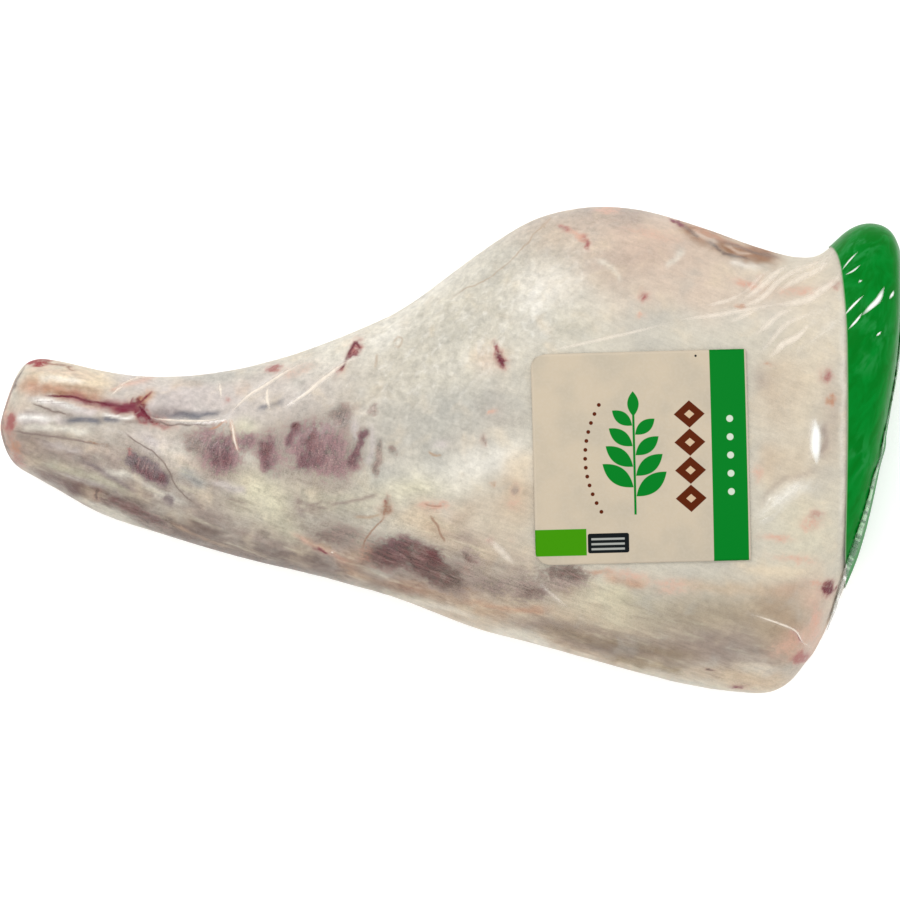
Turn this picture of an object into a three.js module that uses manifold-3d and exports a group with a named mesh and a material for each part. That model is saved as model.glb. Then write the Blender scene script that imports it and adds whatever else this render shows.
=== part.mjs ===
// A raw leg of lamb on the bone, vacuum-packed in a tight shrink bag, with a label stuck on the bag.
// Units are millimetres and +Z is up. The leg lies on its inner side: the hock end points to -X,
// the hip end to +X, the hamstring edge to +Y, and the shin and flank edge to -Y.
import * as THREE from "three";
import { mergeVertices } from "three/addons/utils/BufferGeometryUtils.js";
import Module from "manifold-3d";

const packLength = 400;
const hockX = -packLength / 2;
const hipX = packLength / 2;

// The outline seen from above, as a few points along each edge.
const hamstringEdge = [
  [hockX, 12], [-195.5, 27], [-190.5, 37.2], [-184.5, 40.9], [-172, 39.6], [-155.5, 35.8],
  [-138, 33.2], [-115.5, 33.4], [-93, 36.6], [-66.5, 43.8], [-40, 54], [-20, 63.4],
  [-4.5, 74.8], [22, 94], [40, 104], [66, 108.7], [86, 107], [111, 99.8],
  [138, 90.3], [155, 86], [164, 86.4], [170, 90.8], [178, 98], [186.5, 101],
  [194, 99.4], [198.6, 95], [hipX, 90],
];
const shinEdge = [
  [hockX, 8], [-197.5, -1], [-193.5, -7.2], [-186.5, -11.4], [-173, -19], [-155.5, -28.7],
  [-129, -37.6], [-93, -48.2], [-58, -56.7], [-22, -66.9], [13.5, -80.6], [31, -85],
  [49, -89.9], [84.5, -99.8], [111, -106], [129, -108.3], [142, -108.7], [150.5, -105],
  [156.5, -98.4], [164.5, -84.6], [173.5, -64.8], [182, -44.2], [191, -6], [195.5, 18.4],
  [198.6, 38], [hipX, 50],
];

// Side views of the leg: the crown of the top, and the underside, which the table flattens at 0.
const crownHeights = [
  [hockX, 48], [-160, 50], [-115, 54], [-70, 61], [-20, 69], [30, 76],
  [80, 79], [130, 76], [168, 69], [hipX, 60],
];
const undersideHeights = [
  [hockX, 9], [-150, 6.5], [-100, 3.5], [-55, 0], [-10, -3], [150, -3], [185, -1.5], [hipX, 0.5],
];
const rimShare = 0.44; // how high the widest line runs, as a share of the crown's height

// How full the cross-section is, as a superellipse's power, over and under the widest line.
const topFullness = [[hockX, 2.1], [-100, 2.05], [40, 2.05], [130, 2.2], [hipX, 2.5]];
const bottomFullness = [[hockX, 2.1], [-60, 2.1], [60, 2.2], [hipX, 2.5]];

// How much higher the hamstring side is than the shin side, as a share of the crown's height.
const crownTilt = [[hockX, 0], [-80, -0.02], [0, 0.02], [110, 0.1], [165, 0.04], [hipX, 0]];

// The two ends are blunt cuts with rounded rims.
const hockEnd = { reach: 13, flat: 0.5 };
const hipEnd = { reach: 15, flat: 0.6 };

// Tendons, creases and the hollows between them on the shank, each from one point to another.
const cords = [
  { name: "gambrel tendon", from: [-196, 32], to: [-143, 26.5], width: 8, rise: 2.2 },
  { name: "hollow beside the tendon", from: [-184, 23], to: [-120, 14.5], width: 3.6, rise: -2.6 },
  { name: "shin sheath", from: [-188, 18], to: [-146, 11], width: 3.2, rise: 1.2 },
  { name: "hollow along the shin", from: [-166, 12.5], to: [-118, 9.5], width: 3, rise: -1.6 },
  { name: "long saphenous vein", from: [-122, 11.5], to: [-94, 11.2], width: 2.6, rise: 1 },
  { name: "upper stifle crease", from: [-94, 11.2], to: [-62, 34], width: 3, rise: 1.3 },
  { name: "lower stifle crease", from: [-74, 19], to: [-46, 40], width: 3, rise: 1.2 },
  { name: "front shin hollow", from: [-184, 4], to: [-140, -3], width: 4, rise: -1.5 },
  { name: "hip dimple", from: [163, 16], to: [163, -8], width: 5, rise: -1.8 },
];

// Muscles that swell under the fat, and the low ground between them.
const swells = [
  { name: "calf", at: [-104, -6], reach: [34, 15], turn: -14, rise: 2.6 },
  { name: "outer shin muscle", at: [-132, -16], reach: [34, 7], turn: -24, rise: 1.8 },
  { name: "knee", at: [-66, 2], reach: [24, 17], turn: 20, rise: 2.4 },
  { name: "hollow above the knee", at: [-34, -12], reach: [16, 30], turn: -20, rise: -2 },
  { name: "thigh front", at: [2, -48], reach: [48, 15], turn: -18, rise: 2.2 },
  { name: "hamstrings", at: [52, 72], reach: [40, 22], turn: 12, rise: 2 },
  { name: "flank hollow", at: [92, -78], reach: [46, 11], turn: -12, rise: -2.4 },
  { name: "rump", at: [128, 44], reach: [34, 26], turn: 0, rise: 1.6 },
];

// The bag's welded end, folded flat against the hip cut, from the flank corner to the tail.
const weld = { fromX: 160, height: 9, proud: 0.9, root: 5, rise: 31, steps: 26 };

const label = {
  at: [84.6, -3.2], size: [95.5, 93.5], turn: 1.5, corner: 6, thickness: 0.3, gap: 0.3, tallest: 120,
};

const stations = 84; // cross-sections from hock to hip
const around = 48; // points in each cross-section
const endCrowding = 0.55; // how strongly the cross-sections crowd towards both ends
const curveSamples = 600;

// A smooth line through points, as a function that gives its height at any x.
function smoothLine(points) {
  const corners = points.map(([x, y]) => new THREE.Vector3(x, y, 0));
  const curve = new THREE.CatmullRomCurve3(corners, false, "centripetal");
  const dots = curve.getPoints(curveSamples);
  return (x) => {
    let i = dots.findIndex((dot) => dot.x >= x);
    if (i < 0) i = dots.length - 1;
    if (i === 0) return dots[0].y;
    const [before, after] = [dots[i - 1], dots[i]];
    return before.y + ((x - before.x) / (after.x - before.x)) * (after.y - before.y);
  };
}

const hamstringY = smoothLine(hamstringEdge);
const shinY = smoothLine(shinEdge);
const crownZ = smoothLine(crownHeights);
const undersideZ = smoothLine(undersideHeights);
const topPower = smoothLine(topFullness);
const bottomPower = smoothLine(bottomFullness);
const tiltAt = smoothLine(crownTilt);

// Near an end, the share of its full height that the section keeps: round at the rim, flat at the cut.
function endShare(distance, { reach, flat }) {
  const s = Math.min(Math.max(distance / reach, 0), 1);
  return flat + (1 - flat) * Math.sqrt(1 - (1 - s) ** 2);
}

// 1 along the middle of a cord, falling away at its sides and at its ends.
function cordShape({ from, to, width }, x, y) {
  const [dx, dy] = [to[0] - from[0], to[1] - from[1]];
  const along = ((x - from[0]) * dx + (y - from[1]) * dy) / (dx * dx + dy * dy);
  const t = Math.min(Math.max(along, 0), 1);
  const away = Math.hypot(x - from[0] - t * dx, y - from[1] - t * dy);
  return Math.exp(-2 * (away / width) ** 2);
}

// 1 at the middle of a swell, falling away over its reach, with its long side turned from X.
function swellShape({ at, reach, turn }, x, y) {
  const angle = THREE.MathUtils.degToRad(turn);
  const [dx, dy] = [x - at[0], y - at[1]];
  const u = (dx * Math.cos(angle) + dy * Math.sin(angle)) / reach[0];
  const v = (dy * Math.cos(angle) - dx * Math.sin(angle)) / reach[1];
  return Math.exp(-(u * u + v * v));
}

function relief(x, y) {
  const ridges = cords.reduce((sum, cord) => sum + cord.rise * cordShape(cord, x, y), 0);
  return swells.reduce((sum, swell) => sum + swell.rise * swellShape(swell, x, y), ridges);
}

// The point of the surface at x, turned by an angle about the leg: 0 is the hamstring edge,
// a quarter turn is the crown, and a half turn is the shin edge.
function surfacePoint(x, angle) {
  const middle = (hamstringY(x) + shinY(x)) / 2;
  const halfWidth = (hamstringY(x) - shinY(x)) / 2;
  const share = Math.min(endShare(x - hockX, hockEnd), endShare(hipX - x, hipEnd));
  const rim = undersideZ(x) + rimShare * (crownZ(x) - undersideZ(x));
  const [c, s] = [Math.cos(angle), Math.sin(angle)];
  const power = s >= 0 ? topPower(x) : bottomPower(x);
  const acrossShare = Math.sign(c) * Math.abs(c) ** (2 / power);
  const upShare = Math.abs(s) ** (2 / power);
  const y = middle + halfWidth * acrossShare;
  if (s < 0) return new THREE.Vector3(x, y, Math.max(rim - (rim - undersideZ(x)) * share * upShare, 0));
  const tilted = 1 + tiltAt(x) * acrossShare;
  const z = rim + (crownZ(x) - rim) * share * tilted * upShare + relief(x, y) * share * upShare;
  return new THREE.Vector3(x, y, z);
}

// Station x values, closer together near both ends, where the outline turns quickly.
function stationX(i) {
  const t = i / stations;
  const eased = t - (endCrowding * Math.sin(2 * Math.PI * t)) / (2 * Math.PI);
  return hockX + packLength * eased;
}

function legGeometry() {
  const positions = [];
  const faces = [];
  for (let i = 0; i <= stations; i++)
    for (let j = 0; j < around; j++)
      positions.push(...surfacePoint(stationX(i), (2 * Math.PI * j) / around).toArray());
  const at = (i, j) => i * around + (j % around);
  for (let i = 0; i < stations; i++)
    for (let j = 0; j < around; j++) {
      faces.push(at(i, j), at(i, j + 1), at(i + 1, j));
      faces.push(at(i, j + 1), at(i + 1, j + 1), at(i + 1, j));
    }
  for (const [i, facesForward] of [[0, false], [stations, true]]) {
    const middle = new THREE.Vector3();
    for (let j = 0; j < around; j++)
      middle.add(new THREE.Vector3().fromArray(positions, 3 * at(i, j)).divideScalar(around));
    const centre = positions.push(...middle.toArray()) / 3 - 1;
    for (let j = 0; j < around; j++)
      faces.push(centre, ...(facesForward ? [at(i, j), at(i, j + 1)] : [at(i, j + 1), at(i, j)]));
  }
  const geometry = new THREE.BufferGeometry();
  geometry.setAttribute("position", new THREE.Float32BufferAttribute(positions, 3));
  geometry.setIndex(faces);
  return geometry;
}

// A strip round the hip end, following the outline: proud of the pack outside, rooted in it inside.
function weldGeometry() {
  const outline = [];
  for (let i = 0; i <= weld.steps; i++) {
    const x = weld.fromX + (hipX - weld.fromX) * Math.sin((Math.PI / 2) * (i / weld.steps));
    outline.push(new THREE.Vector2(x, shinY(x)));
  }
  outline.push(new THREE.Vector2(hipX, hamstringY(hipX)));
  const sideways = outline.map((_, i) => {
    const run = outline[Math.min(i + 1, outline.length - 1)].clone().sub(outline[Math.max(i - 1, 0)]);
    return new THREE.Vector2(run.y, -run.x).normalize();
  });
  const outer = outline.map((p, i) => p.clone().addScaledVector(sideways[i], weld.proud));
  const inner = outline.map((p, i) => p.clone().addScaledVector(sideways[i], -weld.root));
  const strip = new THREE.Shape([...outer, ...inner.reverse()]);
  const geometry = new THREE.ExtrudeGeometry(strip, { depth: weld.height, bevelEnabled: false });
  return geometry.translate(0, 0, weld.rise - weld.height / 2);
}

// A tall prism with the label's outline: round corners towards the hock, square ones towards the hip.
function labelPrismGeometry() {
  const [w, h] = label.size.map((side) => side / 2);
  const r = label.corner;
  const shape = new THREE.Shape();
  shape.moveTo(w, -h);
  shape.lineTo(w, h);
  shape.lineTo(-w + r, h);
  shape.absarc(-w + r, h - r, r, Math.PI / 2, Math.PI, false);
  shape.lineTo(-w, -h + r);
  shape.absarc(-w + r, -h + r, r, Math.PI, 1.5 * Math.PI, false);
  const prism = new THREE.ExtrudeGeometry(shape, {
    depth: label.tallest, bevelEnabled: false, curveSegments: 5,
  });
  return prism.rotateZ(THREE.MathUtils.degToRad(label.turn)).translate(...label.at, label.tallest / 4);
}

const wasm = await Module();
wasm.setup();

function solidFrom(geometry) {
  geometry.deleteAttribute("normal");
  geometry.deleteAttribute("uv");
  const merged = mergeVertices(geometry, 1e-4);
  return new wasm.Manifold(new wasm.Mesh({
    numProp: 3,
    vertProperties: merged.attributes.position.array,
    triVerts: new Uint32Array(merged.index.array),
  }));
}

function geometryFrom(solid) {
  const { numProp, vertProperties, triVerts } = solid.getMesh();
  const positions = [];
  for (let i = 0; i < vertProperties.length; i += numProp)
    positions.push(...vertProperties.subarray(i, i + 3));
  const geometry = new THREE.BufferGeometry();
  geometry.setAttribute("position", new THREE.Float32BufferAttribute(positions, 3));
  geometry.setIndex([...triVerts]);
  geometry.computeVertexNormals();
  return geometry;
}

const legSolid = solidFrom(legGeometry());
const packSolid = legSolid.add(solidFrom(weldGeometry()));
const aboveLabel = legSolid.translate([0, 0, label.gap + label.thickness]);
const belowLabel = legSolid.translate([0, 0, label.gap]);
const labelSolid = aboveLabel.subtract(belowLabel).intersect(solidFrom(labelPrismGeometry()));

const filmedMeat = new THREE.MeshStandardMaterial({ color: 0xd6ccb8, roughness: 0.3, metalness: 0 });
const creamLabel = new THREE.MeshStandardMaterial({ color: 0xdccfb6, roughness: 0.35, metalness: 0 });

const packedLeg = new THREE.Mesh(geometryFrom(packSolid), filmedMeat);
packedLeg.name = "packed_leg";
const packLabel = new THREE.Mesh(geometryFrom(labelSolid), creamLabel);
packLabel.name = "label";

const pack = new THREE.Group();
pack.add(packedLeg, packLabel);

// The origin is under the middle of the whole pack, on the table.
const bounds = new THREE.Box3().setFromObject(pack);
const middle = bounds.getCenter(new THREE.Vector3());
for (const mesh of [packedLeg, packLabel]) mesh.position.set(-middle.x, -middle.y, -bounds.min.z);

export default pack;
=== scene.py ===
import math

import bmesh
import bpy
import numpy as np
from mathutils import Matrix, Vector
from mathutils.bvhtree import BVHTree


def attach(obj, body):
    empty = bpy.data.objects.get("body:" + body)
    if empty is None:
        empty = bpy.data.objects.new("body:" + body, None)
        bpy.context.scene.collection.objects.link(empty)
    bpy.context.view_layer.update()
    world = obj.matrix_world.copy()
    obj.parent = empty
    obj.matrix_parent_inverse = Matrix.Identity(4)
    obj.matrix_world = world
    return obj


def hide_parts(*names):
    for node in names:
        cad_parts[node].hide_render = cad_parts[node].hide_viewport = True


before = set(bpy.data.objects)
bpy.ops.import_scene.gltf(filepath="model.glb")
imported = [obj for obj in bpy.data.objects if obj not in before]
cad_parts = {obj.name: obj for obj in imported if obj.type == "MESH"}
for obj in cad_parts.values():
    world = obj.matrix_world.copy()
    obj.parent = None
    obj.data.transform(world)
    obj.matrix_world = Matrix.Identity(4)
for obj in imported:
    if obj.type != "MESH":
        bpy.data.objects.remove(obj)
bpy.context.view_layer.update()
scene = bpy.context.scene

# The camera hangs over the middle of the pack and looks straight down through a long lens,
# so that the pack's whole length fills the picture's width at the height of its widest line.
camera_height = 3.0
widest_line = 0.035
pack_length = 0.400
lens = bpy.data.cameras.new("camera")
lens.lens = lens.sensor_width * (camera_height - widest_line) / pack_length
camera = bpy.data.objects.new("camera", lens)
camera.location = (0, 0, camera_height)
scene.collection.objects.link(camera)
scene.camera = camera

# A white table that glows a little, as a photographer's light table does, in a pale room, under one
# huge softbox straight above, with a small lamp beyond the hamstring edge for glints on the film.
scene.view_settings.view_transform = "Standard"
room_light = 0.92
softbox = {"size": (3.0, 3.0), "at": (-0.15, 0.9, 3.3), "watts": 32}
glint_lamp = {"size": (0.4, 0.16), "at": (-0.7, 1.2, 2.6), "watts": 9}
table_radius = 3.0
table_white = 0.92
table_glow = 0.34


class Tone:
    """One value or colour in a material: arithmetic on it adds Math nodes, and node() adds any other."""

    def __init__(self, tree, socket=None):
        self.tree, self.socket = tree, socket

    def node(self, kind, settings=None, sockets=None, output=0):
        made = self.tree.nodes.new("ShaderNode" + kind)
        for name, value in (settings or {}).items():
            setattr(made, name, value)
        for name, value in (sockets or {}).items():
            if isinstance(value, Tone):
                self.tree.links.new(value.socket, made.inputs[name])
            else:
                made.inputs[name].default_value = value
        return Tone(self.tree, made.outputs[output]) if made.outputs else None

    def math(self, operation, *values):
        return self.node("Math", {"operation": operation}, dict(enumerate(values)))

    def __add__(self, other):
        return self.math("ADD", self, other)

    def __sub__(self, other):
        return self.math("SUBTRACT", self, other)

    def __rsub__(self, other):
        return self.math("SUBTRACT", other, self)

    def __mul__(self, other):
        return self.math("MULTIPLY", self, other)

    def __abs__(self):
        return self.math("ABSOLUTE", self)

    __radd__, __rmul__ = __add__, __mul__

    def step(self, low, high):
        """0 below low, 1 above high and smooth between them; the other way round if low is over high."""
        if low > high:
            return 1 - self.step(high, low)
        sockets = {"Value": self, "From Min": low, "From Max": high}
        return self.node("MapRange", {"interpolation_type": "SMOOTHSTEP"}, sockets)

    def blend(self, under, over):
        """The colour over, laid on the colour under where this value is 1."""
        return self.node("Mix", {"data_type": "RGBA"}, {0: self, 6: under, 7: over}, output=2)

    def noise(self, size, detail=2.0, rough=0.5, stretch=(1, 1, 1), turn=0.0, swirl=0.0):
        """Cloudy noise from 0 to 1 with features of about size metres, longer where stretch is over 1,
        with its long way turned from X by some degrees, and swirled round itself."""
        sockets = {
            "Vector": self.node("TexCoord", output=3), "Rotation": (0, 0, math.radians(turn)),
            "Scale": tuple(size * s for s in stretch),
        }
        place = self.node("Mapping", {"vector_type": "TEXTURE"}, sockets)
        sockets = {"Vector": place, "Scale": 1.0, "Detail": detail, "Roughness": rough, "Distortion": swirl}
        return self.node("TexNoise", None, sockets)

    def painted(self, name, output=0):
        """What the mesh holds under this name at each of its points."""
        return self.node("Attribute", {"attribute_name": name}, output=output)

    def cover(self, sockets, shown=None):
        """Ends the material with a surface that has these sockets, clear where shown is under 1."""
        surface = self.node("BsdfPrincipled", None, sockets)
        if shown is not None:
            surface = self.node("MixShader", None, {0: shown, 1: self.node("BsdfTransparent"), 2: surface})
        self.node("OutputMaterial", None, {"Surface": surface})


def new_material(name):
    made = bpy.data.materials.new(name)
    made.use_nodes = True
    made.node_tree.nodes.clear()
    return made, Tone(made.node_tree)


def ink(red, green, blue):
    """A colour as a screen shows it, 0 to 255, as the light it reflects."""
    shares = [c / 255 for c in (red, green, blue)]
    light = [c / 12.92 if c <= 0.04045 else ((c + 0.055) / 1.055) ** 2.4 for c in shares]
    return (*light, 1.0)


room = bpy.data.worlds.new("room")
room.use_nodes = True
room.node_tree.nodes["Background"].inputs["Color"].default_value = (1, 1, 1, 1)
room.node_tree.nodes["Background"].inputs["Strength"].default_value = room_light
scene.world = room

for name, light in (("softbox", softbox), ("glint_lamp", glint_lamp)):
    panel = bpy.data.lights.new(name, "AREA")
    panel.shape = "RECTANGLE"
    panel.size, panel.size_y = light["size"]
    panel.energy = light["watts"]
    lamp = bpy.data.objects.new(name, panel)
    lamp.location = light["at"]
    lamp.rotation_euler = (-Vector(light["at"])).to_track_quat("-Z", "Y").to_euler()
    scene.collection.objects.link(lamp)

table_material, brush = new_material("white_table")
speckle = brush.noise(0.003)
whites = speckle.blend((table_white,) * 3 + (1,), (table_white - 0.02,) * 3 + (1,))
brush.cover({"Base Color": whites, "Roughness": 0.9, "Emission Color": whites,
             "Emission Strength": table_glow})
table_mesh = bpy.data.meshes.new("table")
rim = [(table_radius * math.cos(a), table_radius * math.sin(a), 0)
       for a in np.linspace(0, 2 * math.pi, 96)[:-1]]
table_mesh.from_pydata(rim, [], [tuple(range(len(rim)))])
table = bpy.data.objects.new("table", table_mesh)
table.data.materials.append(table_material)
scene.collection.objects.link(table)

# The pack's form, which the meat and the film share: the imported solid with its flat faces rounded
# off and its surface divided into small even faces. Places on it are given in millimetres.
mm = 0.001
face_size = 1.25 * mm
rounding = 24  # how many times each point moves towards its neighbours' middle


def skin_of(node):
    """A fine, smooth copy of a CAD node's surface, as a mesh."""
    rough = bmesh.new()
    rough.from_mesh(node.data)
    bmesh.ops.remove_doubles(rough, verts=rough.verts, dist=0.01 * mm)
    bmesh.ops.join_triangles(
        rough, faces=rough.faces, angle_face_threshold=math.radians(30),
        angle_shape_threshold=math.radians(60),
    )
    mesh = bpy.data.meshes.new("form")
    rough.to_mesh(mesh)
    rough.free()
    form = bpy.data.objects.new("form", mesh)
    scene.collection.objects.link(form)
    form.modifiers.new("rounder", "SUBSURF").levels = 1
    even = form.modifiers.new("even", "REMESH")
    even.mode = "VOXEL"
    even.voxel_size = face_size
    soft = form.modifiers.new("soft", "SMOOTH")
    soft.factor, soft.iterations = 0.5, rounding
    made = bpy.data.meshes.new_from_object(form.evaluated_get(bpy.context.evaluated_depsgraph_get()))
    bpy.data.objects.remove(form)
    return made


def triples(items, field):
    """A place or direction that each of the items holds, one to a row."""
    flat = np.empty(3 * len(items), np.float32)
    items.foreach_get(field, flat)
    return flat.reshape(-1, 3).astype(float)


def piece_of(mesh, name, material):
    """A smooth-shaded piece of the pack, made from the mesh."""
    mesh.name = name
    mesh.materials.clear()
    mesh.materials.append(material)
    mesh.polygons.foreach_set("use_smooth", [True] * len(mesh.polygons))
    mesh.update()
    made = bpy.data.objects.new(name, mesh)
    scene.collection.objects.link(made)
    return made


def moved_skin(points):
    """The form's faces again, with its points moved."""
    mesh = skin.copy()
    mesh.vertices.foreach_set("co", points.astype(np.float32).ravel())
    return mesh


def hold(mesh, name, values):
    """Stores a value for each point of the mesh, which a material reads as painted."""
    layer = mesh.attributes.new(name, "FLOAT", "POINT")
    layer.data.foreach_set("value", np.asarray(values, np.float32))


def hills(places, size, seed, octaves=2):
    """Random smooth hills about size apart, from about -1 to 1, at each place."""
    heights = np.random.default_rng(seed).random(4096) * 2 - 1
    total = np.zeros(len(places))
    for octave in range(octaves):
        scaled = places / size * 2 ** octave + 31.7 * octave
        corner = np.floor(scaled).astype(np.int64)
        share = scaled - corner
        share = share * share * (3 - 2 * share)
        for steps in np.ndindex(*(2,) * places.shape[1]):
            cell = corner + np.array(steps)
            key = (cell * np.array([7919, 104729, 1299709])[: places.shape[1]]).sum(axis=1)
            weight = np.prod(np.where(steps, share, 1 - share), axis=1)
            total += weight * heights[key % 4096] / 2 ** octave
    return total


def smooth(values, low, high):
    """0 below low, 1 above high and smooth between them."""
    share = np.clip((values - low) / (high - low), 0, 1)
    return share * share * (3 - 2 * share)


skin = skin_of(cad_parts["packed_leg"])
skin_points = triples(skin.vertices, "co")
skin_normals = triples(skin.vertex_normals, "vector")
plan = skin_points[:, :2] / mm
height = skin_points[:, 2] / mm
facing_up = smooth(skin_normals[:, 2], -0.5, -0.1)  # 1 on the outer side and down over its edge

# The leg itself: a thick coat of hard white fat, thin or missing in windows where the purple lean
# shows under its silverskin, and bare tendons at the hock. It is pressed against the film all over.
film_gap = 0.3 * mm
film_slack = 0.35 * mm

# The leg's own colours: fat, lean seen through silverskin, and blood.
ivory, chalk, milk = ink(197, 191, 176), ink(238, 235, 228), ink(215, 210, 197)
pearl, dove, sage, moss = ink(194, 184, 180), ink(170, 168, 160), ink(176, 170, 150), ink(208, 202, 176)
cream, blush, buff, tan = ink(218, 200, 172), ink(202, 180, 162), ink(190, 168, 142), ink(170, 144, 120)
haze, fog, slate, umber = ink(154, 138, 128), ink(134, 118, 110), ink(106, 106, 113), ink(108, 90, 82)
mauve, plum, wine = ink(138, 108, 110), ink(110, 76, 82), ink(92, 50, 52)
rose, peach, rust = ink(158, 98, 94), ink(206, 164, 144), ink(178, 134, 108)
claret, crimson, bark = ink(116, 34, 54), ink(96, 4, 34), ink(146, 112, 92)
dusk, ash, sienna, cherry = ink(104, 78, 74), ink(118, 104, 106), ink(142, 100, 68), ink(140, 0, 24)
olive = ink(136, 118, 92)

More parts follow.
